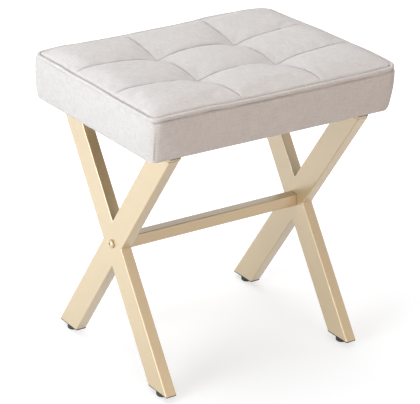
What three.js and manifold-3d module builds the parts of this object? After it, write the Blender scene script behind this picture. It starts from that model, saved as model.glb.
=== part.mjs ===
// Vanity stool: a quilted, boxed seat pad on two welded steel X frames, tied by one stretcher.
// Millimetres. X runs along the stretcher, +Y points to the back, +Z is up.
// The origin is on the floor under the middle of the seat.
import * as THREE from "three";
import { mergeVertices } from "three/addons/utils/BufferGeometryUtils.js";
import Module from "manifold-3d";

const wasm = await Module();
wasm.setup();

// Clearances and cuts
const fitGap = 0.3; // between pieces that touch
const cutOverrun = 5; // how far a cutting shape runs past what it cuts

// Seat pad
const seatWidth = 457; // over the fullest line of the boxing band
const seatDepth = 341;
const seatUnderside = 398; // from the floor to the rolled lower edge
const bandHeight = 68.5; // lower edge to the groove under the welt
const crownHeight = 14; // groove to the top of the panels
const seatCornerRadius = 22;
const bandTuck = 10.5; // how far the lower edge is drawn in
const bandBulge = 3; // how far the band swells past its top seam
const coverThickness = 2.5; // fabric with its bonded backing
const hemWidth = 26; // fabric turned under the board
const hemCornerRadius = 4;
const weltDiameter = 6;
const weltFlat = 0.5; // how far the welt stands above the edge of the top panel
const edgeDrop = 3; // top panel's edge below the top of the welt
const panelsPerSide = 3;
const panelPuff = 7; // how far each panel swells above its seams
const tuftDepth = 5; // how far the four crossings are pulled down
const tuftReach = 18; // radius at which the pull has died down to a third

// Seat board and filling
const boardThickness = 12;
const boardInset = 10; // board's edge inside the fullest line
const foamHeight = 47;
const dustCoverThickness = 0.8;
const dustCoverInset = 24; // its edge inside the board's edge
const twineDiameter = 2;
const twineKnotDiameter = 6;
const twineKnotHeight = 1.6;

// Leg tubes, 42.5 x 19 mm with rounded edges
const legTubeWidth = 42.5;
const legTubeDepth = 19;
const tubeWall = 1.5;
const tubeEdgeRadius = 2.4;
const crossHeight = 204.6; // floor to the middle of the crossing
const frameInset = 45; // frame's outer face inside the seat's side
const legSetback = 17; // leg's top corner inside the seat's front and back
const topBarThickness = 4;
const topBarWidth = 32;
const topBarEdgeRadius = 3;

// Stretcher and its two bolts, M8 with button heads
const stretcherSide = 19.5;
const plugLength = 12;
const bigBoltDiameter = 8;
const bigHeadDiameter = 14;
const bigHeadHeight = 4.4;
const bigSocket = 5; // across the flats of the hexagon
const bigSocketDepth = 2.6;
const boltPassThrough = 4; // thread that shows past its nut or plug
const bushDiameter = 13;

// Seat bolts, M6 with button heads, in tee nuts
const smallBoltDiameter = 6;
const smallHeadDiameter = 10.5;
const smallHeadHeight = 3.3;
const smallSocket = 4;
const smallSocketDepth = 2;
const washerDiameter = 12;
const washerThickness = 1.6;
const teeFlangeDiameter = 19;
const teeFlangeThickness = 1.4;
const teeBarrelDiameter = 8.4;
const teeBarrelLength = 9;

// Levelling glides: a moulded cap in each leg, a nut, an M6 stud and a round pad
const capFlange = 2;
const capDepth = 16;
const nutAcrossFlats = 10;
const nutHeight = 5;
const nutSeatHeight = 4; // nut's seat above the flange
const studDiameter = 6;
const studAboveFlange = 18;
const studHeadDiameter = 8.4;
const studHeadHeight = 2.2;
const padDiameter = 18.6;
const padFootDiameter = 14;
const padHeight = 7.5;
const padFloor = 2;
const padShoulder = 3; // where the pad's side turns in to its foot

// Facets and shares
const arcSteps = 2; // rounded edges of tubes and boards
const roundSides = 16; // turned parts
const cornerSteps = 5; // seat corners
const sideSteps = 6; // seat sides between corners
const weltSides = 8;
const facetsPerPanel = 7;
const seamCrowdingShare = 0.55; // draws the facets together at the seams
const innerRadiusShare = 0.4;
const boltPlaceShare = 0.48; // seat bolts along half of a top bar
const headFlatShare = 0.45;
const puffPowerShare = 0.6;
const crownSquareness = 4; // a higher power keeps the top flat closer to its edge

// Heights that follow from the sizes above
const footCut = padHeight + fitGap + capFlange;
const seamHeight = seatUnderside + bandHeight;
const weltTop = seamHeight + weltDiameter + weltFlat;
const panelEdge = weltTop - edgeDrop;
const boardUnderside = seatUnderside + coverThickness + fitGap;
const boardTop = boardUnderside + boardThickness;
const foamTop = boardTop + fitGap + foamHeight;
const dustCoverTop = seatUnderside - fitGap;
const topBarTop = dustCoverTop - dustCoverThickness - fitGap;
const topBarUnderside = topBarTop - topBarThickness;
const legTop = topBarUnderside - fitGap;

// Places that follow
const halfWidth = seatWidth / 2;
const halfDepth = seatDepth / 2;
const frameOuter = halfWidth - frameInset;
const frameInner = frameOuter - legTubeDepth;
const frameMiddle = (frameOuter + frameInner) / 2;
const legReach = halfDepth - legSetback;
const legRise = legTop - crossHeight;
// The lean puts the corner of the cut leg end at legReach, half a tube's width out from its centre line.
const lean =
  Math.acos(legTubeWidth / 2 / Math.hypot(legRise, legReach)) - Math.atan2(legRise, legReach);
const footCentre = (crossHeight - footCut) * Math.tan(lean);
const seatBoltX = frameOuter - topBarWidth / 2;
const seatBoltY = legReach * boltPlaceShare;
const weltInset = bandBulge + weltDiameter / 2;
const topInset = bandBulge + weltDiameter + fitGap;

const frameColour = new THREE.Color(0.87, 0.79, 0.66);
const steelColour = new THREE.Color(0.62, 0.62, 0.6);
const plasticColour = new THREE.Color(0.03, 0.03, 0.03);
const fabricColour = new THREE.Color(0.76, 0.72, 0.68);
const finishes = {
  frame: { color: frameColour, roughness: 0.42, metalness: 0.15 },
  steel: { color: steelColour, roughness: 0.35, metalness: 0.9 },
  plastic: { color: plasticColour, roughness: 0.55, metalness: 0 },
  fabric: { color: fabricColour, roughness: 0.95, metalness: 0 },
  lining: { color: new THREE.Color(0.08, 0.08, 0.08), roughness: 0.95, metalness: 0 },
  foam: { color: new THREE.Color(0.9, 0.86, 0.72), roughness: 0.95, metalness: 0 },
  plywood: { color: new THREE.Color(0.72, 0.58, 0.4), roughness: 0.7, metalness: 0 },
};

const stool = new THREE.Group();

function addPiece(name, geometry, finish, place = [0, 0, 0]) {
  const mesh = new THREE.Mesh(geometry, new THREE.MeshStandardMaterial(finishes[finish]));
  mesh.name = name;
  mesh.position.set(...place);
  stool.add(mesh);
  return mesh;
}

// A three.js geometry as a solid that can be cut
function solidOf(geometry) {
  const bare = geometry.clone();
  bare.deleteAttribute("normal");
  bare.deleteAttribute("uv");
  const merged = mergeVertices(bare);
  const vertProperties = merged.attributes.position.array;
  const triVerts = new Uint32Array(merged.index.array);
  return new wasm.Manifold(new wasm.Mesh({ numProp: 3, vertProperties, triVerts }));
}

// A cut solid as a three.js geometry
function geometryOf(solid) {
  const mesh = solid.getMesh();
  const geometry = new THREE.BufferGeometry();
  geometry.setAttribute("position", new THREE.BufferAttribute(mesh.vertProperties, 3));
  geometry.setIndex(new THREE.BufferAttribute(mesh.triVerts, 1));
  geometry.computeVertexNormals();
  return geometry;
}

function block(low, high) {
  const size = high.map((value, axis) => value - low[axis]);
  const box = new THREE.BoxGeometry(...size);
  box.translate(...low.map((value, axis) => value + size[axis] / 2));
  return solidOf(box);
}

// An upright cylinder from one height to another
function post(diameter, low, high, x = 0, y = 0, sides = roundSides) {
  const cylinder = new THREE.CylinderGeometry(diameter / 2, diameter / 2, high - low, sides);
  cylinder.rotateX(Math.PI / 2);
  cylinder.translate(x, y, (low + high) / 2);
  return solidOf(cylinder);
}

function roundedRectangle(width, height, radius) {
  const x = width / 2 - radius;
  const y = height / 2 - radius;
  const shape = new THREE.Shape();
  shape.absarc(x, y, radius, 0, Math.PI / 2);
  shape.absarc(-x, y, radius, Math.PI / 2, Math.PI);
  shape.absarc(-x, -y, radius, Math.PI, Math.PI * 1.5);
  shape.absarc(x, -y, radius, Math.PI * 1.5, Math.PI * 2);
  shape.closePath();
  return shape;
}

// A flat plate with rounded corners, from one height to another
function plate(width, depth, radius, low, high) {
  const outline = roundedRectangle(width, depth, radius);
  const options = { depth: high - low, bevelEnabled: false, curveSegments: arcSteps };
  const geometry = new THREE.ExtrudeGeometry(outline, options);
  geometry.translate(0, 0, low);
  return geometry;
}

// A length of rectangular tube round the origin, along Z, as an outer and an inner solid
function tubeSolids(sizeX, sizeY, length) {
  const inner = [sizeX - 2 * tubeWall, sizeY - 2 * tubeWall, tubeEdgeRadius * innerRadiusShare];
  const outside = plate(sizeX, sizeY, tubeEdgeRadius, -length / 2, length / 2);
  const bore = plate(...inner, -length / 2 - cutOverrun, length / 2 + cutOverrun);
  return { outside, bore };
}

// Leg tubes: both bars of an X are the same tube, leaning opposite ways through one crossing.
// direction is 1 for a bar whose top is at the back, and -1 for one whose top is at the front.
function leaningBar(direction) {
  const length = 2 * Math.max(legRise, crossHeight) * (1 / Math.cos(lean) + Math.tan(lean));
  const { outside, bore } = tubeSolids(legTubeDepth, legTubeWidth, length);
  for (const geometry of [outside, bore]) {
    geometry.rotateX(-direction * lean);
    geometry.translate(0, 0, crossHeight);
  }
  return { outside: solidOf(outside), bore: solidOf(bore) };
}

// Everything between two heights, for cutting a leg level at its ends
function levelSlice(low, high) {
  const reach = seatDepth;
  return block([-reach, -reach, low], [reach, reach, high]);
}

// The through leg runs in one piece from the front foot to the back of the seat.
function throughLeg() {
  const bar = leaningBar(1);
  const hole = boltHole(bigBoltDiameter + 2 * fitGap, legTubeDepth);
  const tube = bar.outside.subtract(bar.bore).intersect(levelSlice(footCut, legTop));
  return geometryOf(tube.subtract(hole));
}

// A drilled hole along X at the crossing
function boltHole(diameter, length) {
  const radius = diameter / 2;
  const drill = new THREE.CylinderGeometry(radius, radius, length + 2 * cutOverrun, roundSides);
  drill.rotateZ(Math.PI / 2);
  drill.translate(0, 0, crossHeight);
  return solidOf(drill);
}

// The half legs are coped to the through leg's sides and welded there.
function halfLeg(isUpper) {
  const bar = leaningBar(-1);
  const cope = plate(
    legTubeDepth + 2 * cutOverrun,
    legTubeWidth + 2 * fitGap,
    tubeEdgeRadius,
    -seatDepth,
    seatDepth,
  );
  cope.rotateX(-lean);
  cope.translate(0, 0, crossHeight);
  const slice = isUpper ? levelSlice(crossHeight, legTop) : levelSlice(footCut, crossHeight);
  return geometryOf(bar.outside.subtract(bar.bore).intersect(slice).subtract(solidOf(cope)));
}

// A flat bar welded across the two leg tops, drilled for two seat bolts
function topBar() {
  const length = 2 * legReach;
  const bar = solidOf(plate(topBarWidth, length, topBarEdgeRadius, topBarUnderside, topBarTop));
  const diameter = smallBoltDiameter + 2 * fitGap;
  const low = topBarUnderside - cutOverrun;
  const high = topBarTop + cutOverrun;
  const front = post(diameter, low, high, 0, -seatBoltY);
  const back = post(diameter, low, high, 0, seatBoltY);
  return geometryOf(bar.subtract(front).subtract(back));
}

// A button-head bolt with its shank up +Z from the origin and its head below
function buttonBolt(diameter, length, headDiameter, headHeight, socket, socketDepth) {
  const flat = (headDiameter / 2) * headFlatShare;
  const dome = headDiameter / 2 - flat;
  const profile = [new THREE.Vector2(0, -headHeight)];
  for (let step = 0; step <= 2 * arcSteps; step += 1) {
    const turn = (step / (2 * arcSteps)) * (Math.PI / 2);
    profile.push(new THREE.Vector2(flat + dome * Math.sin(turn), -headHeight * Math.cos(turn)));
  }
  profile.push(new THREE.Vector2(diameter / 2, 0));
  profile.push(new THREE.Vector2(diameter / 2, length));
  profile.push(new THREE.Vector2(0, length));
  const turned = new THREE.LatheGeometry(profile, roundSides);
  turned.rotateX(Math.PI / 2);
  const acrossCorners = (2 * socket) / Math.sqrt(3);
  const key = post(acrossCorners, -headHeight - cutOverrun, -headHeight + socketDepth, 0, 0, 6);
  return geometryOf(solidOf(turned).subtract(key));
}

// A turned ring along Z, such as a washer or a bush
function ring(outerDiameter, innerDiameter, low, high) {
  const hole = post(innerDiameter, low - cutOverrun, high + cutOverrun);
  return geometryOf(post(outerDiameter, low, high).subtract(hole));
}

// X frames, left at -X and right at +X
function addFrames() {
  for (const [side, sign] of [["left", -1], ["right", 1]]) {
    const middle = [sign * frameMiddle, 0, 0];
    addPiece(`${side}_through_leg`, throughLeg(), "frame", middle);
    addPiece(`${side}_upper_half_leg`, halfLeg(true), "frame", middle);
    addPiece(`${side}_lower_half_leg`, halfLeg(false), "frame", middle);
    addPiece(`${side}_top_bar`, topBar(), "frame", [sign * seatBoltX, 0, 0]);
  }
}

// Stretcher: a square tube between the frames, with a threaded plug welded in each end
function addStretcher() {
  const length = 2 * (frameInner - fitGap);
  const { outside, bore } = tubeSolids(stretcherSide, stretcherSide, length);
  const tube = solidOf(outside).subtract(solidOf(bore));
  const stretcher = addPiece("stretcher", geometryOf(tube), "frame", [0, 0, crossHeight]);
  stretcher.rotation.y = Math.PI / 2;

  const plugSide = stretcherSide - 2 * tubeWall - 2 * fitGap;
  const radius = tubeEdgeRadius * innerRadiusShare;
  const plug = solidOf(plate(plugSide, plugSide, radius, 0, plugLength));
  const thread = bigBoltDiameter + 2 * fitGap;
  const bored = plug.subtract(post(thread, -cutOverrun, plugLength + cutOverrun));
  const boltLength = legTubeDepth + 2 * fitGap + plugLength + boltPassThrough;
  const bushHalf = legTubeDepth / 2 - tubeWall - fitGap;
  for (const [side, sign] of [["left", -1], ["right", 1]]) {
    const turn = (-sign * Math.PI) / 2;
    const plugMesh = addPiece(`stretcher_plug_${side}`, geometryOf(bored), "steel");
    plugMesh.position.set(sign * (frameInner - fitGap), 0, crossHeight);
    plugMesh.rotation.y = turn;
    const size = [bigHeadDiameter, bigHeadHeight, bigSocket, bigSocketDepth];
    const bolt = addPiece(
      `stretcher_bolt_${side}`,
      buttonBolt(bigBoltDiameter, boltLength, ...size),
      "frame",
    );
    bolt.position.set(sign * (frameOuter + fitGap), 0, crossHeight);
    bolt.rotation.y = turn;
    // The bush keeps the bolt from crushing the leg tube.
    const sleeve = ring(bushDiameter, bigBoltDiameter + 2 * fitGap, -bushHalf, bushHalf);
    const bush = addPiece(`stretcher_bush_${side}`, sleeve, "steel");
    bush.position.set(sign * frameMiddle, 0, crossHeight);
    bush.rotation.y = turn;
  }
}

// A moulded cap: a thin flange under the cut tube and a plug that leans with the leg.
// It is built for a leg that leans back, with its foot at y = 0.
function footCap() {
  const slant = legTubeWidth / Math.cos(lean);
  const flange = solidOf(
    plate(legTubeDepth, slant, tubeEdgeRadius, footCut - capFlange, footCut - fitGap),
  );
  const plugX = legTubeDepth / 2 - tubeWall - fitGap;
  const plugY = (legTubeWidth / 2 - tubeWall - fitGap) / Math.cos(lean);
  const rootDepth = capFlange / 2;
  const drift = capDepth * Math.tan(lean);
  const rootDrift = -rootDepth * Math.tan(lean);
  const side = new THREE.Shape();
  side.moveTo(rootDrift - plugY, footCut - rootDepth);
  side.lineTo(rootDrift + plugY, footCut - rootDepth);
  side.lineTo(drift + plugY, footCut + capDepth);
  side.lineTo(drift - plugY, footCut + capDepth);
  side.closePath();
  const plug = new THREE.ExtrudeGeometry(side, { depth: 2 * plugX, bevelEnabled: false });
  plug.translate(0, 0, -plugX);
  plug.rotateY(Math.PI / 2);
  plug.rotateX(Math.PI / 2);
  const pocketWidth = (2 * (nutAcrossFlats + 2 * fitGap)) / Math.sqrt(3);
  const pocketLow = footCut + nutSeatHeight - fitGap;
  const pocketHigh = footCut + capDepth + cutOverrun;
  const pocket = post(pocketWidth, pocketLow, pocketHigh, 0, 0, 6);
  const hole = post(studDiameter + 4 * fitGap, 0, pocketHigh);
  return geometryOf(flange.add(solidOf(plug)).subtract(pocket).subtract(hole));
}

// A hexagon nut held in the cap
function footNut() {
  const acrossCorners = (2 * nutAcrossFlats) / Math.sqrt(3);
  const low = footCut + nutSeatHeight;
  const high = low + nutHeight;
  const bore = post(studDiameter + 2 * fitGap, low - cutOverrun, high + cutOverrun);
  return geometryOf(post(acrossCorners, low, high, 0, 0, 6).subtract(bore));
}

// The stud has a flat head that is held in the pad, and screws down out of the nut.
function glideStud() {
  const headLow = padFloor + fitGap;
  const headHigh = headLow + studHeadHeight;
  const head = post(studHeadDiameter, headLow, headHigh);
  const shank = post(studDiameter, headLow, footCut + studAboveFlange);
  return geometryOf(head.add(shank));
}

// The pad stands on the floor: a flat foot, a rounded side and a pocket for the stud's head.
function glidePad() {
  const foot = padFootDiameter / 2;
  const radius = padDiameter / 2;
  const profile = [new THREE.Vector2(0, 0)];
  for (let step = 0; step <= 2 * arcSteps; step += 1) {
    const turn = (step / (2 * arcSteps)) * (Math.PI / 2);
    const out = foot + (radius - foot) * Math.sin(turn);
    profile.push(new THREE.Vector2(out, padShoulder * (1 - Math.cos(turn))));
  }
  const pocket = studHeadDiameter / 2 + fitGap;
  const mouth = studDiameter / 2 + fitGap;
  const pocketTop = padFloor + studHeadHeight + 2 * fitGap;
  profile.push(new THREE.Vector2(radius, padHeight));
  profile.push(new THREE.Vector2(mouth, padHeight));
  profile.push(new THREE.Vector2(mouth, pocketTop));
  profile.push(new THREE.Vector2(pocket, pocketTop));
  profile.push(new THREE.Vector2(pocket, padFloor));
  profile.push(new THREE.Vector2(0, padFloor));
  const pad = new THREE.LatheGeometry(profile, roundSides);
  pad.rotateX(Math.PI / 2);
  return pad;
}

// One levelling foot at the end of each leg
function addFeet() {
  for (const [side, signX] of [["left", -1], ["right", 1]]) {
    for (const [end, signY] of [["front", -1], ["back", 1]]) {
      const place = [signX * frameMiddle, signY * footCentre, 0];
      const cap = addPiece(`foot_cap_${end}_${side}`, footCap(), "plastic", place);
      // A front foot's leg leans back and a back foot's leg leans forward.
      cap.rotation.z = signY < 0 ? 0 : Math.PI;
      addPiece(`foot_nut_${end}_${side}`, footNut(), "steel", place);
      addPiece(`glide_stud_${end}_${side}`, glideStud(), "steel", place);
      addPiece(`glide_pad_${end}_${side}`, glidePad(), "plastic", place);
    }
  }
}

// Stations round the seat's outline, each with its way out from the seat. The signs say which
// corner it belongs to, and along a side they run from one corner's sign to the next.
function seatStations() {
  const stations = [];
  const corners = [[1, 1], [-1, 1], [-1, -1], [1, -1]];
  for (let corner = 0; corner < corners.length; corner += 1) {
    const [fromX, fromY] = corners[corner];
    const [toX, toY] = corners[(corner + 1) % corners.length];
    for (let step = 0; step <= cornerSteps; step += 1) {
      const turn = (corner + step / cornerSteps) * (Math.PI / 2);
      stations.push({ signX: fromX, signY: fromY, outX: Math.cos(turn), outY: Math.sin(turn) });
    }
    const turn = (corner + 1) * (Math.PI / 2);
    for (let step = 1; step < sideSteps; step += 1) {
      const share = step / sideSteps;
      const signX = fromX + (toX - fromX) * share;
      const signY = fromY + (toY - fromY) * share;
      stations.push({ signX, signY, outX: Math.cos(turn), outY: Math.sin(turn) });
    }
  }
  return stations;
}

// The corner radius shrinks with the inset, down to that of the hem.
function stationPoint(station, inset, height) {
  const radius = Math.max(seatCornerRadius - inset, hemCornerRadius);
  const x = station.signX * (halfWidth - inset - radius);
  const y = station.signY * (halfDepth - inset - radius);
  return [x + station.outX * radius, y + station.outY * radius, height];
}

// A closed section of [inset, height] points swept round the seat
function seatRing(section) {
  const stations = seatStations();
  const positions = [];
  const faces = [];
  for (const station of stations) {
    for (const [inset, height] of section) {
      positions.push(...stationPoint(station, inset, height));
    }
  }
  const count = section.length;
  for (let a = 0; a < stations.length; a += 1) {
    const b = (a + 1) % stations.length;
    for (let i = 0; i < count; i += 1) {
      const j = (i + 1) % count;
      faces.push(a * count + i, b * count + i, b * count + j);
      faces.push(a * count + i, b * count + j, a * count + j);
    }
  }
  return facing(positions, faces);
}

// A block with the seat's outline, whose inset changes with height, closed above and below
function seatBlock(levels) {
  const stations = seatStations();
  const positions = [];
  const faces = [];
  for (const [inset, height] of levels) {
    for (const station of stations) {
      positions.push(...stationPoint(station, inset, height));
    }
  }
  const count = stations.length;
  for (let level = 0; level + 1 < levels.length; level += 1) {
    for (let a = 0; a < count; a += 1) {
      const b = (a + 1) % count;
      const low = level * count;
      const high = low + count;
      faces.push(low + a, low + b, high + b, low + a, high + b, high + a);
    }
  }
  const middleLow = positions.length / 3;
  positions.push(0, 0, levels[0][1], 0, 0, levels[levels.length - 1][1]);
  const top = (levels.length - 1) * count;
  for (let a = 0; a < count; a += 1) {
    const b = (a + 1) % count;
    faces.push(middleLow, b, a, middleLow + 1, top + a, top + b);
  }
  return facing(positions, faces);
}

// An indexed geometry, turned the right way out
function facing(positions, faces) {
  const geometry = new THREE.BufferGeometry();
  geometry.setAttribute("position", new THREE.Float32BufferAttribute(positions, 3));
  geometry.setIndex(faces);
  const corner = [new THREE.Vector3(), new THREE.Vector3(), new THREE.Vector3()];
  let volume = 0;
  for (let i = 0; i < faces.length; i += 3) {
    corner.forEach((point, k) => point.fromArray(positions, faces[i + k] * 3));
    volume += corner[0].dot(corner[1].clone().cross(corner[2]));
  }
  if (volume < 0) {
    geometry.setIndex(faces.slice().reverse());
  }
  geometry.computeVertexNormals();
  return geometry;
}

// The band's outer side, from its lower edge up to the seam: it swells at half height.
// Each row is a share of the height, of the tuck at the bottom and of the bulge.
const bandShares = [
  [0, 1, 0],
  [0.03, 0.62, 0],
  [0.09, 0.28, 0],
  [0.22, 0.1, 0],
  [0.5, 0, 0],
  [0.76, 0, 0.25],
  [0.92, 0, 0.75],
  [1, 0, 1],
];

function bandSide() {
  const height = bandHeight - fitGap;
  return bandShares.map(([up, tuck, bulge]) => [
    bandTuck * tuck + bandBulge * bulge,
    seatUnderside + height * up,
  ]);
}

// How far the band's outer side is drawn in at a height
function bandInsetAt(height) {
  const side = bandSide();
  const next = Math.max(1, side.findIndex(([, rowHeight]) => rowHeight >= height));
  const [lowInset, low] = side[next - 1];
  const [highInset, high] = side[next];
  return lowInset + ((highInset - lowInset) * (height - low)) / (high - low);
}

// The band's outer rows between two heights, with a row at each of the two
function bandRows(low, high, inwards) {
  const between = bandSide().filter(([, height]) => height > low && height < high);
  const rows = [[bandInsetAt(low), low], ...between, [bandInsetAt(high), high]];
  return rows.map(([inset, height]) => [inset + inwards, height]);
}

// Boxing band: fabric from the top seam down round the board's edge and turned under it
function addBand() {
  const hemTop = boardUnderside - fitGap;
  const hemEdge = boardInset + hemWidth;
  const lowInner = boardInset - fitGap;
  const bandTop = seamHeight - fitGap;
  const section = [
    [hemEdge, hemTop],
    [hemEdge, seatUnderside],
    ...bandSide(),
    ...bandRows(boardTop, bandTop, coverThickness).reverse(),
    [lowInner, boardTop],
    [lowInner, hemTop],
  ];
  addPiece("cover_band", seatRing(section), "fabric");
}

// Welt: a round cord in fabric, sewn into the seam between band and top
function addWelt() {
  const radius = weltDiameter / 2;
  const centre = seamHeight + radius;
  const section = [];
  for (let side = 0; side < weltSides; side += 1) {
    const turn = ((side + 0.5) / weltSides) * Math.PI * 2;
    section.push([weltInset + radius * Math.cos(turn), centre + radius * Math.sin(turn)]);
  }
  addPiece("welt", seatRing(section), "fabric");
}

// Shares of the half width or half depth at which the top panel's facets lie
function panelLines() {
  const lines = [];
  const steps = panelsPerSide * facetsPerPanel;
  for (let step = 0; step <= steps; step += 1) {
    const along = step / facetsPerPanel;
    const crowd = (seamCrowdingShare * Math.sin(2 * Math.PI * along)) / (2 * Math.PI);
    lines.push(((along - crowd) / panelsPerSide) * 2 - 1);
  }
  return lines;
}

// 0 on each seam and 1 in the middle of each panel
function panelCurve(share) {
  const along = ((share + 1) / 2) * panelsPerSide;
  const inPanel = along - Math.floor(along);
  return Math.max(0, Math.sin(Math.PI * inPanel)) ** puffPowerShare;
}

// The top rises from its edge, swells in each panel and is pulled down at each seam crossing.
function topHeight(shareX, shareY) {
  const crown = seamHeight + crownHeight - panelPuff - panelEdge;
  const rise = crown * (1 - shareX ** crownSquareness) * (1 - shareY ** crownSquareness);
  const puff = panelPuff * panelCurve(shareX) * panelCurve(shareY);
  let pull = 0;
  for (const [seamX, seamY] of seamCrossings()) {
    const away = Math.hypot(
      (shareX - seamX) * (halfWidth - topInset),
      (shareY - seamY) * (halfDepth - topInset),
    );
    pull += tuftDepth * Math.exp(-((away / tuftReach) ** 2));
  }
  return panelEdge + rise + puff - pull;
}

function seamCrossings() {
  const crossings = [];
  for (let i = 1; i < panelsPerSide; i += 1) {
    for (let j = 1; j < panelsPerSide; j += 1) {
      crossings.push([(2 * i) / panelsPerSide - 1, (2 * j) / panelsPerSide - 1]);
    }
  }
  return crossings;
}

// A point of the top panel, drawn in to the rounded corners
function topPoint(shareX, shareY, inset, height) {
  const radius = seatCornerRadius - inset;
  const limitX = halfWidth - inset - radius;
  const limitY = halfDepth - inset - radius;
  let x = shareX * (halfWidth - inset);
  let y = shareY * (halfDepth - inset);
  const overX = Math.abs(x) - limitX;
  const overY = Math.abs(y) - limitY;
  const away = Math.hypot(overX, overY);
  if (overX > 0 && overY > 0 && away > radius) {
    x = Math.sign(x) * (limitX + (overX * radius) / away);
    y = Math.sign(y) * (limitY + (overY * radius) / away);
  }
  return [x, y, height];
}

// A padded sheet over the seat: the quilted upper side, and an underside given by underAt
function quiltedSheet(drop, inset, underAt) {
  const lines = panelLines();
  const count = lines.length;
  const positions = [];
  const faces = [];
  for (const layer of [0, 1]) {
    for (const shareY of lines) {
      for (const shareX of lines) {
        const top = topHeight(shareX, shareY) - drop;
        positions.push(...topPoint(shareX, shareY, inset, layer ? top : underAt(top)));
      }
    }
  }
  const upper = count * count;
  for (let j = 0; j + 1 < count; j += 1) {
    for (let i = 0; i + 1 < count; i += 1) {
      const a = j * count + i;
      const [b, c, d] = [a + 1, a + count + 1, a + count];
      faces.push(upper + a, upper + b, upper + c, upper + a, upper + c, upper + d);
      faces.push(a, c, b, a, d, c);
    }
  }
  const last = count - 1;
  for (let i = 0; i < last; i += 1) {
    const edges = [
      [i, i + 1],
      [last * count + i + 1, last * count + i],
      [(i + 1) * count, i * count],
      [i * count + last, (i + 1) * count + last],
    ];
    for (const [a, b] of edges) {
      faces.push(a, b, upper + b, a, upper + b, upper + a);
    }
  }
  return facing(positions, faces);
}

// Places of the four tufts, in millimetres
function tuftPlaces() {
  return seamCrossings().map(([x, y]) => [x * (halfWidth - topInset), y * (halfDepth - topInset)]);
}

// Upright holes for the tuft twines through a filling layer or the board
function drillTufts(solid, low, high) {
  let drilled = solid;
  for (const [x, y] of tuftPlaces()) {
    const hole = post(twineDiameter + 2 * fitGap, low - cutOverrun, high + cutOverrun, x, y, weltSides);
    drilled = drilled.subtract(hole);
  }
  return drilled;
}

// Quilted top, the wadding that fills it, and the foam block under both
function addPad() {
  const sheet = quiltedSheet(0, topInset, (top) => top - coverThickness);
  addPiece("cover_top", sheet, "fabric");

  const waddingLow = foamTop + fitGap;
  const wadding = quiltedSheet(coverThickness + fitGap, topInset + fitGap, () => waddingLow);
  addPiece("wadding", geometryOf(drillTufts(solidOf(wadding), waddingLow, weltTop)), "foam");

  const foamLow = boardTop + fitGap;
  const levels = bandRows(foamLow, foamTop, coverThickness + fitGap);
  const foam = drillTufts(solidOf(seatBlock(levels)), foamLow, foamTop);
  addPiece("foam_core", geometryOf(foam), "foam");
}

// Plywood board with counterbored holes for the tee nuts
function addBoard() {
  const width = seatWidth - 2 * boardInset;
  const depth = seatDepth - 2 * boardInset;
  const radius = seatCornerRadius - boardInset;
  let board = solidOf(plate(width, depth, radius, boardUnderside, boardTop));
  const bore = teeBarrelDiameter + 2 * fitGap;
  const recess = teeFlangeDiameter + 2 * fitGap;
  const recessDepth = teeFlangeThickness + fitGap;
  for (const [x, y] of seatBoltPlaces()) {
    board = board.subtract(post(bore, boardUnderside - cutOverrun, boardTop + cutOverrun, x, y));
    board = board.subtract(post(recess, boardTop - recessDepth, boardTop + cutOverrun, x, y));
  }
  addPiece("seat_board", geometryOf(drillTufts(board, boardUnderside, boardTop)), "plywood");
}

// Black lining stretched across the turned hem, under the board
function addDustCover() {
  const inset = boardInset + dustCoverInset;
  const low = dustCoverTop - dustCoverThickness;
  const size = [seatWidth - 2 * inset, seatDepth - 2 * inset, fitGap + coverThickness];
  let lining = solidOf(plate(...size, low, dustCoverTop));
  for (const [x, y] of seatBoltPlaces()) {
    const hole = post(smallBoltDiameter + 4 * fitGap, low - cutOverrun, dustCoverTop + cutOverrun, x, y);
    lining = lining.subtract(hole);
  }
  addPiece("dust_cover", geometryOf(lining), "lining");
}

function seatBoltPlaces() {
  const places = [];
  for (const signX of [-1, 1]) {
    for (const signY of [-1, 1]) {
      places.push([signX * seatBoltX, signY * seatBoltY]);
    }
  }
  return places;
}

// A tee nut: a barrel in the board under a thin round flange
function teeNut() {
  const flangeLow = boardTop - teeFlangeThickness;
  const flange = post(teeFlangeDiameter, flangeLow, boardTop);
  const barrel = post(teeBarrelDiameter, boardTop - teeBarrelLength, boardTop);
  const thread = smallBoltDiameter + 2 * fitGap;
  const bore = post(thread, boardUnderside - cutOverrun, boardTop + cutOverrun);
  return geometryOf(flange.add(barrel).subtract(bore));
}

// Four bolts hold the frames to the board: bolt, washer and tee nut at each place
function addSeatFasteners() {
  const washerTop = topBarUnderside - fitGap;
  const washerLow = washerTop - washerThickness;
  const headSeat = washerLow - fitGap;
  const boltLength = boardTop - fitGap - headSeat;
  const size = [smallHeadDiameter, smallHeadHeight, smallSocket, smallSocketDepth];
  seatBoltPlaces().forEach(([x, y]) => {
    const name = `${y < 0 ? "front" : "back"}_${x < 0 ? "left" : "right"}`;
    const bolt = buttonBolt(smallBoltDiameter, boltLength, ...size);
    const washer = ring(washerDiameter, smallBoltDiameter + 2 * fitGap, washerLow, washerTop);
    addPiece(`seat_bolt_${name}`, bolt, "steel", [x, y, headSeat]);
    addPiece(`seat_washer_${name}`, washer, "steel", [x, y, 0]);
    addPiece(`tee_nut_${name}`, teeNut(), "steel", [x, y, 0]);
  });
}

// Tuft twine: from the underside of the quilted top down to a knot under the board
function addTwines() {
  tuftPlaces().forEach(([x, y], index) => {
    const [shareX, shareY] = seamCrossings()[index];
    const high = topHeight(shareX, shareY) - coverThickness - fitGap;
    const knotTop = boardUnderside - fitGap;
    const strand = post(twineDiameter, knotTop - twineKnotHeight, high, x, y, weltSides);
    const knot = post(twineKnotDiameter, knotTop - twineKnotHeight, knotTop, x, y, weltSides);
    addPiece(`tuft_twine_${index + 1}`, geometryOf(strand.add(knot)), "lining");
  });
}

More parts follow.
